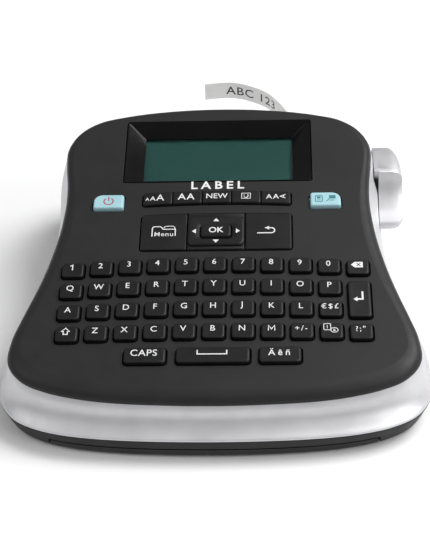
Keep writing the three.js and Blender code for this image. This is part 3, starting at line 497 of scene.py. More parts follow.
class Outline:
    """A closed outline as a smooth radius about one centre, through the outer points at one height."""

    def __init__(self, points, height, centre):
        self.centre = centre
        points = points[np.abs(points[:, 2] - height) < 0.02]
        x, y = points[:, 0] - centre[0], centre[1] - points[:, 1]
        angles, radii = np.arctan2(x, y), np.hypot(x, y)
        kept = []
        for i in np.argsort(angles):
            if not kept or angles[i] - angles[kept[-1]] >= SAME_DIRECTION:
                kept.append(i)
            elif radii[i] > radii[kept[-1]]:
                kept[-1] = i
        if angles[kept[0]] + 2 * math.pi - angles[kept[-1]] < SAME_DIRECTION:
            kept.pop(0 if radii[kept[0]] < radii[kept[-1]] else -1)
        self.angles, self.radii = angles[kept], radii[kept]

    def radius(self, angle):
        """Catmull-Rom interpolation of the radius between the ring's points."""
        angle = (angle + math.pi) % (2 * math.pi) - math.pi
        count = len(self.angles)
        after = int(np.searchsorted(self.angles, angle))
        span = [(after + k) for k in (-2, -1, 0, 1)]
        a = [self.angles[k % count] + 2 * math.pi * (k // count) for k in span]
        r = [self.radii[k % count] for k in span]
        width = a[2] - a[1]
        t = (angle - a[1]) / width
        m1 = (r[2] - r[0]) / (a[2] - a[0]) * width
        m2 = (r[3] - r[1]) / (a[3] - a[1]) * width
        return ((2 * t**3 - 3 * t**2 + 1) * r[1] + (t**3 - 2 * t**2 + t) * m1
                + (-2 * t**3 + 3 * t**2) * r[2] + (t**3 - t**2) * m2)

    def point(self, angle, inset=0.0):
        radius = self.radius(angle) - inset
        return self.centre[0] + radius * math.sin(angle), self.centre[1] - radius * math.cos(angle)


COVER = Outline(panel_points("top_cover"), COVER_RIM, COVER_CENTRE)
BAND = Outline(vertices("side_band") / MM, BAND_BOTTOM, BODY_CENTRE)


# -------- key caps and strips read from the frame
KEY_ROWS = ("key_row_digits", "key_row_qwerty", "key_row_asdf", "key_row_zxcv")
SINGLE_KEYS = ("backspace_key", "enter_key", "shift_key", "caps_key", "space_key", "accents_key")
CORNER_KEYS = {"power_key": [0.9, 0.9, 3.4, 0.9], "print_key": [0.9, 3.4, 0.9, 0.9]}      # corner radii
FUNCTION_KEYS = ("text_size_key", "bold_key", "new_label_key", "frame_style_key", "text_style_key")
WIDEST_ROW_CAP = 9


def cap_boxes(node):
    """(x, y, width, height) of each cap of a node, from left to right, at the cover's face."""
    points = panel_points(node, -1, 1)
    widest = WIDEST_ROW_CAP if node in KEY_ROWS else math.inf
    groups = []
    for point in points[np.argsort(points[:, 0])]:
        if not groups or point[0] - groups[-1][0][0] > widest:
            groups.append([])
        groups[-1].append(point)
    corners = [(np.min(group, 0)[:2], np.max(group, 0)[:2]) for group in groups]
    return [(*(low + high) / 2, *(high - low)) for low, high in corners]


CAPS = {node: cap_boxes(node) for node in (*KEY_ROWS, *SINGLE_KEYS, *CORNER_KEYS)}


class Strip:
    """The arched field that some nodes share: parabolas for its front and back edges."""

    def __init__(self, nodes):
        points = np.concatenate([panel_points(node, -1, 0.55) for node in nodes])
        middle = (points[:, 1].min() + points[:, 1].max()) / 2
        front, back = points[points[:, 1] < middle], points[points[:, 1] > middle]
        self.front = np.polyfit(front[:, 0], front[:, 1], 2)
        self.back = np.polyfit(back[:, 0], back[:, 1], 2)
        self.left, self.right = points[:, 0].min(), points[:, 0].max()

    def outline(self, left, right, margin=0.0, spans=12, corner=0.5):
        """From left to right along the front edge and back again, with clipped corners."""
        low, high = left - margin, right + margin
        corner = min(corner, (high - low) / 4)
        xs = [low, low + 0.3 * corner, low + corner]
        xs += [low + corner + (high - low - 2 * corner) * i / spans for i in range(1, spans)]
        xs += [high - corner, high - 0.3 * corner, high]
        drops = [corner, 0.3 * corner, *([0] * (spans + 1)), 0.3 * corner, corner]
        front = [(x, np.polyval(self.front, x) - margin + drop) for x, drop in zip(xs, drops)]
        back = [(x, np.polyval(self.back, x) + margin - drop) for x, drop in zip(xs, drops)]
        return front + back[::-1]


FUNCTION_STRIP = Strip(FUNCTION_KEYS)
NAV_STRIP = Strip(("menu_key", "back_key"))


# -------- top cover
# Each step of the skin: how much of the edge roll's width it is drawn in, and its height.
COVER_PROFILE = spline([(0, -3.8), (0.02, -3.1), (0.08, -2.4), (0.28, -1.15), (0.62, -0.32), (1, 0)], 4)
HOLE_MARGIN = 0.52
HOLE_RADIUS = 1.7
# Height and inset of a hole's cutter, whose top flares, so that the hole gets a small rounded lip.
LIP = ((-5.5, 0), (-0.3, 0), (-0.13, -0.03), (-0.04, -0.08), (0.0, -0.16), (1.2, -0.16))


def roll_width(angle):
    """The cover's edge rolls over a wider strip at the front than at the back."""
    return 5.28 + 1.8 * math.cos(angle)


def cover_ring(z, inset=0.0, part=0.0):
    return [(*COVER.point(angle, inset + part * roll_width(angle)), z) for angle in RING_ANGLES]


def add_hole(bm, outline):
    add_loft(bm, stack(outline, LIP), on_panel)


def add_cap_hole(bm, box, radii, steps):
    x, y, width, height = box
    add_hole(bm, rounded_rectangle(x, y, width + 2 * HOLE_MARGIN, height + 2 * HOLE_MARGIN, radii, steps))


def top_cover():
    under = [cover_ring(-2, part=1.1), cover_ring(-2.8, WALL + 0.8), cover_ring(COVER_RIM, WALL)]
    cover = loft("cover", under + [cover_ring(z, part=part) for part, z in COVER_PROFILE], on_panel)
    bm = bmesh.new()
    for node in KEY_ROWS + SINGLE_KEYS:
        for box in CAPS[node]:
            add_cap_hole(bm, box, HOLE_RADIUS, 5)
    for node, radii in CORNER_KEYS.items():
        add_cap_hole(bm, CAPS[node][0], [radius + HOLE_MARGIN for radius in radii], 6)
    for strip in (FUNCTION_STRIP, NAV_STRIP):
        add_hole(bm, strip.outline(strip.left, strip.right, HOLE_MARGIN, 16, 1.5))
    add_hole(bm, box_outline(*panel_box("display_bezel"), 1.0, 4, GAP))
    stands_in(weighted_normals(subtract(cover, [make_object("cover_cutters", bm)], 40)), "top_cover")


# -------- keys
CAP_TOP = 1.5
CAP_RADIUS = 1.3
ROUNDED = 50             # degrees: the caps' small rounding steps are all drawn smooth
# Each step of a cap: height, inset and how far the outline has moved to the left and to the front.
CAP_PROFILE = ((-3.35, -1.0, 0), (-2.35, -1.0, 0), (-2.34, 0, 0), (0.85, 0.02, 0.02), (1.15, 0.09, 0.08),
               (1.34, 0.22, 0.15), (1.45, 0.38, 0.21), (1.49, 0.52, 0.24), (CAP_TOP, 0.66, 0.25),
               (1.47, 1.3, 0.25), (1.45, 2.1, 0.25))
CORNER_PROFILE = ((-3.35, -1.0, 0), (-2.35, -1.0, 0), (-2.34, 0, 0), (0.4, 0, 0), (0.85, 0.07, 0),
                  (1.18, 0.2, 0), (1.38, 0.38, 0), (1.47, 0.56, 0), (CAP_TOP, 0.76, 0), (1.46, 2.4, 0))
# From here on each step is a height and an inset.
FUNCTION_PROFILE = ((-3, 0), (0.45, 0), (0.75, 0.06), (0.96, 0.2), (1.07, 0.4), (1.1, 0.65))
NAV_PROFILE = ((-3, 0), (0.25, 0), (0.45, 0.06), (0.57, 0.2), (0.6, 0.45))
PAD_PROFILE = ((-3, 0), (0.3, 0), (0.5, 0.1), (0.6, 0.3))
PAD_SQUARE_PROFILE = ((-1, 0), (0.9, 0), (1.25, 0.1), (1.52, 0.32), (1.66, 0.62), (1.7, 1.0), (1.6, 2.2))
OK_WELL_PROFILE = ((-5, 0), (1.2, 0), (1.5, -0.1), (1.62, -0.3), (3, -0.3))
OK_PROFILE = ((-2, 0), (1.8, 0), (2.15, 0.1), (2.38, 0.32), (2.48, 0.6), (2.5, 0.9), (2.46, 1.6))
PAD_STEP = 1.2           # above it the CAD pad is only its raised square
OK_STEP = 1.95           # below it the CAD OK key has its full size
STRIP_STEP = 0.95        # the same for the keys of the two strips


def key_caps():
    """Caps with steep sides, rounded edges and a slightly dished top."""
    for node, boxes in CAPS.items():
        corner = node in CORNER_KEYS
        profile = CORNER_PROFILE if corner else CAP_PROFILE
        bm = bmesh.new()
        for box in boxes:
            outline = rounded_rectangle(*box, CORNER_KEYS[node] if corner else CAP_RADIUS)
            add_loft(bm, [[(x - shift, y - shift, z) for x, y in shrunk(outline, inset, inset * 0.9)]
                          for z, inset, shift in profile], on_panel)
        stands_in(make_object(node.replace("_key", "") + "_caps", bm, ROUNDED), node)


def strip_key(node, strip, profile):
    low, high = panel_box(node, 0, STRIP_STEP)
    rings = stack(strip.outline(low[0], high[0]), profile)
    stands_in(loft(node.replace("_key", "") + "_cap", rings, on_panel, ROUNDED), node)


def strip_keys():
    for node in FUNCTION_KEYS:
        strip_key(node, FUNCTION_STRIP, FUNCTION_PROFILE)
    for node in ("menu_key", "back_key"):
        strip_key(node, NAV_STRIP, NAV_PROFILE)


def direction_pad():
    """The pad's field with its raised square, and in that the well for the OK key."""
    low, high = panel_box("direction_pad", below=-2)
    pad = loft("pad", stack(NAV_STRIP.outline(low[0], high[0]), PAD_PROFILE), on_panel, ROUNDED)
    square = box_outline(*panel_box("direction_pad", PAD_STEP), 2.2, 8)
    combine(pad, "UNION", loft("pad_block", stack(square, PAD_SQUARE_PROFILE), on_panel, ROUNDED))
    well = box_outline(*panel_box("ok_key", below=OK_STEP), 1.5, 6, 0.4)
    subtract(pad, [loft("pad_well", stack(well, OK_WELL_PROFILE), on_panel)], 40)
    stands_in(pad, "direction_pad")


def ok_key():
    outline = box_outline(*panel_box("ok_key", below=OK_STEP), 1.3, 8)
    stands_in(loft("ok_cap", stack(outline, OK_PROFILE), on_panel, ROUNDED), "ok_key")


# -------- display
def display():
    low, high = panel_box("display_bezel")
    floor_points = panel_points("display_bezel", low[2] - 0.05, low[2] + 0.05)
    x, y = floor_points[:, 0], floor_points[:, 1]
    inner = floor_points[(np.abs(x) < (high[0] - low[0]) / 2 - 1) & (y < high[1] - 1) & (y > low[1] + 0.6)]
    bottom = box_outline(inner.min(0), inner.max(0), 0.5, 4)
    outer = box_outline(low, high, 0.9, 4)
    top = box_outline(low, high, 0.9, 4, -0.5)
    walls = [[(x0 + (x1 - x0) * rise, y0 + (y1 - y0) * rise, low[2] * (1 - rise))
              for (x0, y0), (x1, y1) in zip(bottom, top)] for rise in (0.94, 0.66, 0.33, 0)]
    rings = [level(bottom, low[2]), *stack(outer, ((low[2], 0), (-0.15, 0), (0, 0.15), (0, 0.35))),
             level(shrunk(top, -0.02), -0.06), *walls]
    bm = bmesh.new()
    add_loft(bm, rings, on_panel, capped=False)
    bmesh.ops.remove_doubles(bm, verts=bm.verts, dist=0.01 * MM)
    stands_in(make_object("bezel", bm, 25), "display_bezel")
    low, high = panel_box("display_window")
    pane = stack(box_outline(low, high, 1.0, 4), ((low[2], 0), (high[2] - 0.1, 0), (high[2], 0.1)))
    stands_in(loft("window_pane", pane, on_panel), "display_window")


# -------- side band
BAND_TOP = COVER_RIM - GAP
BAND_STATIONS = [step / 28 for step in range(29)]
LOW_SIDE, TALL_SIDE = 10, 34          # the band's heights that flare wholly in the low or the tall way
BEAD = 0.12                           # the part of a low side's flare that lies right under the cover
PAST_RIM = 0.0006                     # how far the hollow passes the band's rims
LABEL_SLOT = ((29.6, 66, -22.5), (32.8, 86, -10.5))      # panel frame
JACK_HOLE = ((5.3, 58), (5.3, 90))    # radius and y
# The lever's room and, higher up, the room for its shoulder: left, front and bottom face, and wall.
POCKETS = ((64.4, 38.5, 11.5, 1.8), (62.5, 54.5, 30.2, 1.4))
POCKET_RIGHT, POCKET_BACK, POCKET_TOP = 91, 84.5, 61


def swell(down, end):
    return math.sin(min(down / end, 1) * math.pi / 2)


def band_flare(down, tallness):
    """Low parts swell late into a shelf, tall parts swell early and then drop straight."""
    shelf = BEAD * swell(down, 0.25) + (1 - BEAD) * min(down / 0.94, 1) ** 3.4
    return shelf + (swell(down, 0.8) - shelf) * tallness


def band_ring(down, inset=0.0, rise=0.0):
    ring = []
    widest = CAD_BOX[1][0] / MM - inset
    for angle in RING_ANGLES:
        top = panel(*COVER.point(angle, 0.15 + inset), BAND_TOP) / MM
        foot_x, foot_y = BAND.point(angle, inset)
        foot_x = min(max(foot_x, -widest), widest)
        tallness = min(max((top.z - BAND_BOTTOM - LOW_SIDE) / (TALL_SIDE - LOW_SIDE), 0), 1)
        flare = band_flare(down, tallness)
        ring.append((top.x + (foot_x - top.x) * flare, top.y + (foot_y - top.y) * flare,
                     top.z + (BAND_BOTTOM - top.z) * down + rise))
    return ring


def pocket(name, walled=0):
    """The stepped space for the lever; with walled = 1 its walls are part of it."""
    boxes = []
    for left, front, bottom, wall in POCKETS:
        wall *= walled
        low, high = (left - wall, front - wall, bottom - wall), (POCKET_RIGHT, POCKET_BACK + wall, POCKET_TOP)
        boxes.append(box_object(name, low, high))
    return combine(boxes[0], "UNION", *boxes[1:])


def side_band():
    band = loft("band", [band_ring(down) for down in BAND_STATIONS], on_row, 40)
    hollow = loft("hollow", [band_ring(0, WALL, PAST_RIM), band_ring(0.4, WALL), band_ring(0.75, WALL),
                             band_ring(1, WALL, -PAST_RIM)], on_row)
    subtract(hollow, [pocket("lining", walled=1)])
    low, high = box_in_mm("power_jack")
    jack_hole = turned("jack_hole", JACK_HOLE, along_y((low.x + high.x) / 2, (low.z + high.z) / 2))
    slot = box_object("slot", *LABEL_SLOT, on_panel)
    subtract(band, [hollow, pocket("pocket"), slot, jack_hole], 40)
    stands_in(weighted_normals(band), "side_band")


# -------- base shell
BASE_BOTTOM, BASE_TOP, BASE_FLOOR = 1.0, 8.7, 3.0
# Each step: how much of the taper it is drawn in, a further inset, and its height.
BASE_PROFILE = ((1, 1.2, BASE_BOTTOM), (1, 0.72, 1.08), (1, 0.35, 1.45), (0.97, 0.16, 1.9), (0.85, 0, 2.6),
                (0.6, 0, 4.2), (0.3, 0, 6.4), (0.02, 0, 8.2), (0, 0.08, 8.55), (0, 0.3, BASE_TOP))
FRONT_TAPER, SIDE_TAPER = 0.9, 1.9
HALF_WIDTH = 77
BAY = ((-50, -53.6), (50, -19.8))     # the battery bay's front left and back right corners
BAY_ROOF = 15.9
BAY_WALL = 1.4
PIVOT_POST = ((50.8, 65.5, BASE_FLOOR - 0.5), (53.6, 74.5, 31))
LEVER_PIVOT = (70, 27)                # y and z in the body's frame
HATCH_HINGE = 86.4                    # y in the body's frame
SWING_ROOM = 2.3
LIP_ROOM = 0.9                        # on each side of the battery door's front lip
FAR_FRONT = -80                       # well in front of the object
FEET = {"foot_front_left": (-66.5, -38), "foot_front_right": (66.5, -38), "foot_back_left": (-52, 76),
        "foot_back_right": (52, 76)}
SCREWS = ((-64, 2), (64, 2), (-59, 45), (59, 45), (-40, 89), (40, 89))
# Radius and height of each step.
FOOT = ((0.01, 0.12), (3.0, 0.12), (3.4, 0.0), (3.8, 0.0), (4.15, 0.1), (4.4, 0.32), (4.5, 0.6), (4.5, 1.9))
FOOT_RECESS = ((5.0, 0), (5.0, 1.7), (4.8, 1.9), (4.8, 2.2))
COUNTERSINK = ((3.4, 0.5), (3.4, 1.05), (3.1, 1.3), (3.1, 2.1))
SCREW_HEAD = ((1.2, 2.9), (1.2, 1.9), (2.7, 1.9), (2.75, 1.5), (2.5, 1.3), (1.5, 1.25), (0.01, 1.24))


def base_ring(part, inset, z):
    ring = []
    for angle in RING_ANGLES:
        taper = FRONT_TAPER + SIDE_TAPER * (BAND.radius(angle) * math.sin(angle) / HALF_WIDTH) ** 2
        ring.append((*BAND.point(angle, part * taper + inset), z))
    return ring


def base_solid(name):
    return loft(name, [base_ring(*step) for step in BASE_PROFILE], on_row, 30)


def base_shell():
    shell = base_solid("base")
    cavity = [base_ring(1, WALL + 1.2, BASE_FLOOR), base_ring(0, WALL, BASE_TOP + 1)]
    subtract(shell, [loft("cavity", cavity, on_row)], 30)
    (left, front), (right, back) = BAY
    low, high = (left - BAY_WALL, front - BAY_WALL, BASE_FLOOR - 0.5), (right + BAY_WALL, back + 6, BAY_ROOF)
    for name, corners in (("bay", (low, high)), ("post", PIVOT_POST)):
        combine(shell, "UNION", box_object(name, *corners))
    door_low, door_high = box_in_mm("battery_door")
    hatch_low, hatch_high = box_in_mm("cassette_door")
    door_back, hatch_front = door_high.y - BODY_SHIFT, hatch_low.y - BODY_SHIFT
    rooms = {
        "bay_room": ((left, front, 0), (right, back, BAY_ROOF - BAY_WALL)),
        "door_room": ((door_low.x - GAP, FAR_FRONT, 0),
                      (door_high.x + GAP, door_back + GAP, BASE_FLOOR + 0.1)),
        "lip_room": ((door_low.x - LIP_ROOM, FAR_FRONT, 0),
                     (door_high.x + LIP_ROOM, front - 4, door_high.z + 0.55)),
        "hatch": ((hatch_low.x - GAP, hatch_front - GAP, 0),
                  (hatch_high.x + GAP, HATCH_HINGE + SWING_ROOM, BASE_FLOOR + 1)),
    }
    cutters = [
        *[box_object(name, *corners) for name, corners in rooms.items()],
        turned("pin_hole", ((1.9, 50), (1.9, 55)), along_x(*LEVER_PIVOT), 24),
        *[turned("recess", FOOT_RECESS, along_z(*place)) for place in FEET.values()],
        *[turned("countersink", COUNTERSINK, along_z(*place), 32) for place in SCREWS],
    ]
    stands_in(weighted_normals(subtract(shell, cutters, 30)), "base_shell")


def screws():
    for number, (x, y) in enumerate(SCREWS, 1):
        head = turned(f"screw_{number}", SCREW_HEAD, along_z(x, y), 32)
        cross = [box_object("bar", (x - a, y - b, 1), (x + a, y + b, 1.75))
                 for a, b in ((1.7, 0.3), (0.3, 1.7))]
        finish_piece(subtract(head, cross), "root", "steel")


def feet():
    for node, place in FEET.items():
        stands_in(turned(node + "_pad", FOOT, along_z(*place)), node)


# -------- doors in the base
GROOVE_WIDTH, GROOVE_PITCH = 1.1, 2.4


def grip_grooves(half, front, count, depth, rounding):
    """Cutters for the cross grooves that a finger grips."""
    starts = [front + GROOVE_PITCH * i for i in range(count)]
    top = BASE_BOTTOM + depth
    return [bevelled(box_object("groove", (-half, y, 0), (half, y + GROOVE_WIDTH, top)), rounding, 2)
            for y in starts]


def battery_door():
    low, high = box_in_mm("battery_door")
    door = base_solid("battery_cover")
    combine(door, "INTERSECT",
            box_object("limits", (low.x, FAR_FRONT, 0), (high.x, high.y - BODY_SHIFT, high.z)))
    inside = box_object("inside", (low.x - 1, BAY[0][1] - 4.3, BASE_BOTTOM + 1.7), (high.x + 1, -10, 10))
    subtract(door, [inside, *grip_grooves(16, -54, 5, 0.55, 0.25)], 30)
    stands_in(weighted_normals(door), "battery_door")


def cassette_door():
    low, high = box_in_mm("cassette_door")
    front, back = low.y - BODY_SHIFT, high.y - BODY_SHIFT
    plate = box_object("hatch_cover", (low.x, front, BASE_BOTTOM), (high.x, back, BASE_FLOOR - 0.1))
    bevelled(plate, 0.25, 2)
    barrel = ((1.6, low.x + 4), (1.6, high.x - 4))
    combine(plate, "UNION", turned("barrel", barrel, along_x(HATCH_HINGE, BASE_BOTTOM + 1.7), 32))
    notch = turned("notch", ((7, 0), (7, 5)), along_z(0, front - 3))
    subtract(plate, [notch, *grip_grooves(12, front + 6, 4, 0.5, 0.22)], 30)
    stands_in(weighted_normals(plate), "cassette_door")


# -------- cutter lever
# y and z of the lever's outline, seen from the right.
LEVER_PROFILE = ((79.4, 28), (79.4, 33), (78.4, 37.2), (75.2, 39.8), (66, 40.3), (58.4, 40), (57.5, 39.3),
                 (57.2, 37.9), (56.6, 34.8), (54.2, 30.6), (50, 27.2), (46, 25.3), (43.9, 24), (43.7, 22.2),
                 (45.9, 20.2), (56, 17.9), (68, 18.7), (76, 22.8))
# The same points where the lever's shoulder reaches over the band.
SHOULDER_PROFILE = ((78.6, 33.2), (79.2, 34.3), (78.4, 37.2), (75.2, 39.8), (66, 40.3), (58.8, 40),
                    (58, 39.3), (57.9, 38), (58.7, 36.2), (60, 34.9), (61.5, 34), (63, 33.5), (65, 33.2),
                    (67, 33.1), (69, 33.1), (72, 33.1), (74.5, 33.1), (76.6, 33.1))
LEVER_RIDGE = 60
# Each section: x, how far its outline is drawn in, and how much of its length behind the ridge it keeps.
SHOULDER_SECTIONS = ((62.9, 0.5, 1), (62.98, 0.25, 1), (63.15, 0.08, 1), (63.5, 0, 1), (64.78, 0, 1))
LEVER_SECTIONS = ((64.8, 0, 1), (69.6, 0, 1), (70.5, 0.08, 0.96), (71.4, 0.3, 0.9), (72.1, 0.52, 0.83),
                  (72.7, 0.8, 0.75), (73.2, 1.25, 0.67), (73.7, 1.9, 0.6), (74.05, 2.6, 0.54),
                  (74.3, 3.6, 0.5))


def lever_rings(profile, sections):
    outline = spline(profile, 6, closed=True)
    rings = []
    for x, inset, keep in sections:
        kept = [(LEVER_RIDGE + (y - LEVER_RIDGE) * keep if y > LEVER_RIDGE else y, z) for y, z in outline]
        rings.append([(x, y, z) for y, z in shrunk(kept, inset)])
    return rings


def cutter_lever():
    rings = lever_rings(SHOULDER_PROFILE, SHOULDER_SECTIONS) + lever_rings(LEVER_PROFILE, LEVER_SECTIONS)
    lever = loft("lever", rings, on_body, 40)
    y, z = LEVER_PIVOT
    combine(lever, "UNION", turned("hub", ((4.2, 54), (4.2, 67.8)), along_x(y, z)))
    combine(lever, "UNION", bevelled(box_object("crank", (55, 57.5, 20.9), (60.7, y - 1, z + 2)), 0.4))
    subtract(lever, [turned("bore", ((1.9, 53), (1.9, 62.8)), along_x(y, z), 32)])
    stands_in(lever, "cutter_lever")


# -------- batteries
def batteries():
    for number in range(1, 7):
        node = f"battery_{number}"
        low, high = box_in_mm(node)
        radius, length = (high.z - low.z) / 2, high.x - low.x
        start, side = (low.x, 1) if low.x > 0 else (high.x, -1)
        place = along_x((low.y + high.y) / 2 - BODY_SHIFT, (low.z + high.z) / 2, start, side)
        jacket = ((radius - 0.7, 0.25), (radius - 0.25, 0.3), (radius, 0.7), (radius, length - 1.9),
                  (radius - 0.2, length - 1.5), (radius - 0.6, length - 1.4))
        stands_in(turned(f"cell_{number}", jacket, place), node)
        metal = ((radius - 0.9, 0), (radius - 0.5, 0.2), (radius - 0.5, length - 1.25),
                 (radius - 1.0, length - 1.0), (2.5, length - 1.0), (2.4, length - 0.2), (2.1, length))
        finish_piece(turned(f"cell_metal_{number}", metal, place), BODY_OF[node], "steel")


# -------- printed shapes, as (points, faces) in mm
def text_shape(text, size, spacing=1.0, bold=0.018):
    """A centred word in the plain built-in typeface."""
    curve = bpy.data.curves.new("word", "FONT")
    curve.body = text
    curve.size = size
    curve.space_character = spacing
    curve.align_x = "CENTER"
    curve.extrude = 0.5
    curve.offset = bold * size / 4
    curve.resolution_u = 4
    obj = bpy.data.objects.new("word", curve)
    mesh = obj.to_mesh()
    points = [tuple(v.co) for v in mesh.vertices]
    faces = [tuple(face.vertices) for face in mesh.polygons]
    bpy.data.objects.remove(obj)
    bpy.data.curves.remove(curve)
    middle = (min(p[1] for p in points) + max(p[1] for p in points)) / 2
    return [(x, y - middle, z) for x, y, z in points], faces


def slab(outline):
    """A filled convex outline with thickness."""
    count = len(outline)
    points = [(x, y, z) for z in (-0.5, 0.5) for x, y in outline]
    faces = [tuple(range(count))[::-1], tuple(range(count, 2 * count))]
    faces += [(i, (i + 1) % count, count + (i + 1) % count, count + i) for i in range(count)]
    return points, faces


def stroke(path, width, closed=False):
    """A mitred line through a list of points, with thickness."""
    count = len(path)
    points = []
    for i, (x, y) in enumerate(path):
        before = [(path[i - 1], (x, y))] if closed or i else []
        after = [((x, y), path[(i + 1) % count])] if closed or i < count - 1 else []
        normals = [Vector((a[1] - b[1], b[0] - a[0])).normalized() for a, b in before + after]
        normal = sum(normals, Vector((0, 0))) / len(normals)
        side = normal * (width / 2 / max(normal.length_squared, 0.25))
        points += [(x + sign * side.x, y + sign * side.y, z) for sign in (1, -1) for z in (-0.5, 0.5)]
    faces = []
    for i in range(count if closed else count - 1):
        a, b = 4 * i, 4 * ((i + 1) % count)
        faces += [(a, b, b + 1, a + 1), (a + 2, a + 3, b + 3, b + 2), (a + 1, b + 1, b + 3, a + 3),
                  (a, a + 2, b + 2, b)]
    if not closed:
        end = 4 * (count - 1)
        faces += [(0, 1, 3, 2), (end, end + 2, end + 3, end + 1)]
    return points, faces


def arc(cx, cy, radius, start, end, steps=20):
    angles = [math.radians(start + (end - start) * i / steps) for i in range(steps + 1)]
    return [(cx + radius * math.cos(a), cy + radius * math.sin(a)) for a in angles]


def moved(shape, x, y, turn=0.0):
    points, faces = shape
    c, s = math.cos(math.radians(turn)), math.sin(math.radians(turn))
    return [(x + px * c - py * s, y + px * s + py * c, pz) for px, py, pz in points], faces


def add_shape(bm, shape, place):
    points, faces = shape
    verts = [bm.verts.new(place(*point)) for point in points]
    for face in faces:
        bm.faces.new([verts[i] for i in face])


def shift_icon():
    half = [(0.75, 0), (0.75, -1.35), (-0.75, -1.35), (-0.75, 0)]
    return [stroke([(0, 1.5), (1.5, 0), *half, (-1.5, 0)], 0.4, True)]


def enter_icon():
    head = slab([(-2.0, -1.3), (-0.5, -2.4), (-0.5, -0.2)])
    return [stroke([(1.4, 2.3), (1.4, -1.3), (-0.6, -1.3)], 0.7), head]


def return_icon():
    hook = [(-3.3, -1.3), (2.1, -1.3), *arc(2.1, 0, 1.3, -75, 75, 10), (2.1, 1.3), (1.0, 1.3)]
    return [stroke(hook, 0.5), slab([(-0.5, 1.3), (1.3, 0.4), (1.3, 2.2)])]


def symbols_icon():
    box = rounded_rectangle(-1.3, 0.75, 2.5, 2.9, 0.5, 3)
    ring = [(1.25 + 1.25 * x, -0.75 + y) for x, y in arc(0, 0, 1.05, 0, 342, 19)]
    return [stroke(box, 0.28, True), stroke(ring, 0.28, True), moved(text_shape("1", 2.2), -1.3, 0.75),
            moved(text_shape("&", 1.6), 1.25, -0.75)]


def frame_icon():
    cup = [(-0.75, 0.8), (-0.75, -0.2), *arc(0, -0.2, 0.75, 180, 360, 8), (0.75, 0.8)]
    return [stroke([(-1.7, -1.4), (1.7, -1.4), (1.7, 1.4), (-1.7, 1.4)], 0.26, True), stroke(cup, 0.36)]


def menu_icon():
    front = [(-4.5, -2.7), (-4.5, 1.7), (-4.2, 2.2), (-3.7, 2.4), (-1.5, 2.4), (-0.9, 1.9), (-0.3, 1.0),
             (4.4, 1.0), (4.4, -2.4)]
    tab = [(-0.2, 1.6), (0.4, 2.4), (0.9, 2.6), (3.4, 2.6), (4.0, 2.1), (4.3, 1.2)]
    return [stroke(front, 0.42), stroke(tab, 0.3), moved(text_shape("Menu", 3.1, 1.12, 0.012), 0, -1.5)]


def arrow_icons():
    triangle = slab([(-1.15, -0.65), (1.15, -0.65), (0, 0.9)])
    places = ((0, 5.0, 0), (0, -5.85, 180), (-8.3, -0.75, 90), (8.3, -0.75, -90))
    return [moved(triangle, *place) for place in places]


def print_icon():
    page = [stroke(rounded_rectangle(-2.6, 0, 2.7, 3.4, 0.5, 3), 0.34, True),
            slab([(-3.3, 0), (-1.9, 0), (-1.9, 1.2), (-3.3, 1.2)]), stroke([(-3.3, -0.8), (-1.9, -0.8)], 0.3)]
    printer = [stroke([(0.3, -1.5), (1.6, 0.1), (3.9, 0.1)], 0.34),
               slab([(1.4, 0.2), (3.9, 0.2), (3.9, 1.7), (1.4, 1.7)]),
               stroke([(1.6, -0.9), (3.4, -0.9)], 0.3)]
    return page + printer


def key_letter(word):
    """One key's letter or signs; 1 and M are drawn, because the typeface's own clog at this size."""
    if word is None:
        return symbols_icon()
    if word == "1":
        return [stroke([(-0.75, 0.7), (0.15, 1.25), (0.15, -1.25)], 0.42)]
    if word == "M":
        return [stroke([(-1.15, -1.25), (-1.15, 1.2), (0, -0.55), (1.15, 1.2), (1.15, -1.25)], 0.38)]
    return [text_shape(word, 3.6) if len(word) == 1 else text_shape(word, 3.2, 1.28)]


# -------- printed legends
ROW_LEGENDS = {
    "key_row_digits": "1234567890",
    "key_row_qwerty": "QWERTYUIOP",
    "key_row_asdf": [*"ASDFGHJKL", "€$£"],
    "key_row_zxcv": [*"ZXCVBNM", "+/-", None, "?;\""],
}
WORDMARK = "LABEL"
LEGEND_PLACE = (-0.4, 0.85)      # from the middle of a cap, mm
FUNCTION_TOP, NAV_TOP, PAD_TOP, OK_TOP = 1.13, 0.63, 1.73, 2.5


def legend(name, node, shapes, place=(0, 0), top=CAP_TOP, ink_material=WHITE_INK, thickness=0.14):
    """Puts shapes on a node's surface as one thin printed piece that rides on its body."""
    bm = bmesh.new()
    for shape in shapes:
        add_shape(bm, moved(shape, *place), lambda x, y, z: panel(x, y, top + (z - 0.5) * thickness))
    finish_piece(make_object(name, bm, 30), BODY_OF[node], SLOT_OF[node], ink_material)


def legend_place(x, y):
    return x + LEGEND_PLACE[0], y + LEGEND_PLACE[1]


def key_legends():
    for node, words in ROW_LEGENDS.items():
        shapes = []
        for (x, y, _, _), word in zip(CAPS[node], words):
            shapes += [moved(shape, *legend_place(x, y)) for shape in key_letter(word)]
        legend(node.replace("key_row", "legends"), node, shapes)
    singles = {
        "backspace_key": [slab([(-2.3, 0), (-0.9, 1.35), (2.2, 1.35), (2.2, -1.35), (-0.9, -1.35)])],
        "shift_key": shift_icon(),
        "enter_key": enter_icon(),
        "caps_key": [text_shape("CAPS", 4.0, 1.08)],
        "accents_key": [text_shape("Äêñ", 3.7, 1.5, 0.03)],
        "space_key": [stroke([(-5.3, 1.0), (-5.3, -0.8), (5.3, -0.8), (5.3, 1.0)], 0.45)],
    }
    for node, shapes in singles.items():
        legend(node.replace("_key", "_legend"), node, shapes, legend_place(*CAPS[node][0][:2]))
    cross = [moved(stroke([(-0.75, -0.75 * rise), (0.75, 0.75 * rise)], 0.3), 0.6, 0) for rise in (1, -1)]
    place = legend_place(*CAPS["backspace_key"][0][:2])
    legend("backspace_cross", "backspace_key", cross, place, CAP_TOP + 0.03, DARK_INK)


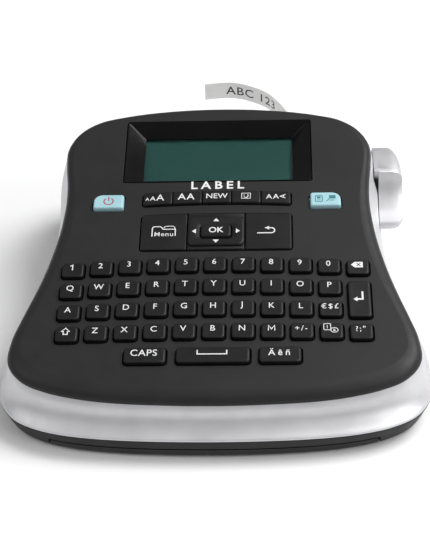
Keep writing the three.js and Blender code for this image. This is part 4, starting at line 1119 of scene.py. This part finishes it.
def strip_legends():
    functions = {
        "text_size_key": [moved(text_shape("A", 2.2), -4.0, -0.75), moved(text_shape("A", 3.2), -1.9, -0.4),
                          moved(text_shape("A", 4.6), 1.0, 0.1)],
        "bold_key": [moved(text_shape("AA", 4.6, 1.15, 0.03), -0.4, 0)],
        "new_label_key": [text_shape("NEW", 3.7)],
        "frame_style_key": frame_icon(),
        "text_style_key": [moved(text_shape("A", 3.5), -2.6, 0), moved(text_shape("A", 3.5), 0.1, 0),
                           moved(text_shape("A", 3.3), 2.7, 0, 90)],
    }
    for node, shapes in functions.items():
        low, high = panel_box(node, 0, STRIP_STEP)
        x = (low[0] + high[0]) / 2
        y = (np.polyval(FUNCTION_STRIP.front, x) + np.polyval(FUNCTION_STRIP.back, x)) / 2
        legend(node.replace("_key", "_legend"), node, shapes, (x - 0.1, y + 0.1), FUNCTION_TOP)
    legend("menu_legend", "menu_key", menu_icon(), (-20.1, 0.4), NAV_TOP)
    legend("back_legend", "back_key", return_icon(), (19.1, 0.3), NAV_TOP)
    legend("wordmark", "top_cover", [text_shape(WORDMARK, 5.7, 1.5, 0.09)], (0, 25.4), 0.02, thickness=0.06)
    legend("pad_arrows", "direction_pad", arrow_icons(), top=PAD_TOP)
    legend("ok_legend", "ok_key", [text_shape("OK", 3.8, 1.0, 0.06)], (0, -0.8), OK_TOP)


def corner_legends():
    x, y = CAPS["power_key"][0][:2]
    power = [stroke(arc(0, 0, 1.8, 125, 415, 24), 0.42), stroke([(0, 0.3), (0, 2.4)], 0.42)]
    legend("power_mark", "power_key", power, (x, y - 0.1), CAP_TOP, RED_INK)
    legend("print_mark", "print_key", print_icon(), CAPS["print_key"][0][:2], CAP_TOP, TEAL_INK)


# -------- label tape
# x and y from the strip's mouth in the cassette to its cut end; TAPE_UP is the panel frame's y = 0.
TAPE_ROUTE = ((22.5, 46.6), (26.5, 48.2), (29.6, 53), (31, 60), (31.1, 70), (31.15, 80), (31.1, 90),
              (28.2, 97), (21, 107.6), (12.3, 113.3), (3.7, 115.7), (-7.2, 114.8))
TAPE_UP = 16.75
TAPE_STEPS = 180
TAPE_THICKNESS = 0.28
TAPE_TEXT = "ABC 123"
TEXT_START = 9.2         # the printed text's first mark, from the cut end
INK_THICKNESS = 0.02


def label_tape():
    low, high = panel_box("label_tape")
    middle, half = (low[2] + high[2]) / 2, (high[2] - low[2]) / 2
    route = np.array(spline([(x, y - TAPE_UP) for x, y in TAPE_ROUTE], 12))
    lengths = np.concatenate([[0], np.cumsum(np.hypot(*np.diff(route, axis=0).T))])

    def along(distance):
        return Vector([np.interp(lengths[-1] - distance, lengths, route[:, i]) for i in (0, 1)])

    def at(distance, side, height):
        """A point of the strip: distance from its cut end, side out of its printed face."""
        forward = (along(distance - 0.5) - along(distance + 0.5)).normalized()
        point = along(distance)
        return panel(point.x - side * forward.y, point.y + side * forward.x, middle + height)

    face = TAPE_THICKNESS / 2
    upper = ((face, half - 0.05), (face - 0.04, half), (0.04 - face, half), (-face, half - 0.05))
    outline = upper + tuple((side, -height) for side, height in upper[::-1])
    distances = [lengths[-1] * i / TAPE_STEPS for i in range(TAPE_STEPS + 1)]
    stands_in(loft("tape", [[(distance, *corner) for corner in outline] for distance in distances],
                   lambda point: at(*point)), "label_tape")
    text = text_shape(TAPE_TEXT, 6.3, 1.08)
    start = min(x for x, _, _ in text[0]) - TEXT_START
    bm = bmesh.new()
    add_shape(bm, text, lambda x, y, z: at(x - start, face - 0.01 + (z + 0.5) * INK_THICKNESS, y))
    finish_piece(make_object("tape_print", bm), BODY_OF["label_tape"], SLOT_OF["label_tape"], DARK_INK)


for build in (top_cover, key_caps, strip_keys, direction_pad, ok_key, display, side_band, base_shell,
              screws, battery_door, cassette_door, feet, cutter_lever, batteries, key_legends,
              strip_legends, corner_legends, label_tape):
    build()


# -------- floor, light and camera
CAMERA_PLACE = Vector((0.0228, -0.477, 0.3749))
CAMERA_TARGET = Vector((-0.0005, -0.0188, 0.03))
CAMERA_ROLL = math.radians(-2.37)
FOCAL_LENGTH = 100.5
WORLD_STRENGTH = 0.35
# Place, width and depth in metres, and power in watts.
LIGHTS = {
    "key_light": ((0.75, 0.3, 1.1), (0.8, 0.8), 17),
    "left_light": ((-0.9, -0.3, 0.9), (0.6, 0.8), 2.5),
    "front_light": ((0.95, -0.6, 0.8), (0.8, 0.6), 5.5),
}
LIGHT_TARGET = Vector((0, 0, 0.02))


def floor():
    bm = bmesh.new()
    bmesh.ops.create_grid(bm, x_segments=8, y_segments=8, size=3)
    obj = make_object("floor", bm)
    nodes = Nodes("floor")
    nodes.shade("Base Color", nodes.two_tone(nodes.noise(3, 2), (0.90, 0.90, 0.90), (0.93, 0.93, 0.93)))
    nodes.shade("Roughness", 0.6)
    obj.data.materials.append(nodes.material)


def studio():
    world = bpy.data.worlds.new("studio")
    world.use_nodes = True
    background = world.node_tree.nodes["Background"]
    background.inputs["Color"].default_value = (1, 1, 1, 1)
    background.inputs["Strength"].default_value = WORLD_STRENGTH
    bpy.context.scene.world = world
    for name, (place, size, power) in LIGHTS.items():
        data = bpy.data.lights.new(name, "AREA")
        data.shape = "RECTANGLE"
        data.size, data.size_y = size
        data.energy = power
        light = in_scene(name, data)
        light.location = place
        light.rotation_euler = (LIGHT_TARGET - Vector(place)).to_track_quat("-Z", "Y").to_euler()
    bpy.context.scene.view_settings.view_transform = "Standard"


def camera():
    data = bpy.data.cameras.new("camera")
    data.lens = FOCAL_LENGTH
    data.sensor_width = 36
    data.clip_start = 0.01
    obj = in_scene("camera", data)
    aim = (CAMERA_TARGET - CAMERA_PLACE).to_track_quat("-Z", "Y").to_matrix().to_4x4()
    obj.matrix_world = Matrix.Translation(CAMERA_PLACE) @ aim @ Matrix.Rotation(CAMERA_ROLL, 4, "Z")
    bpy.context.scene.camera = obj


floor()
studio()
camera()
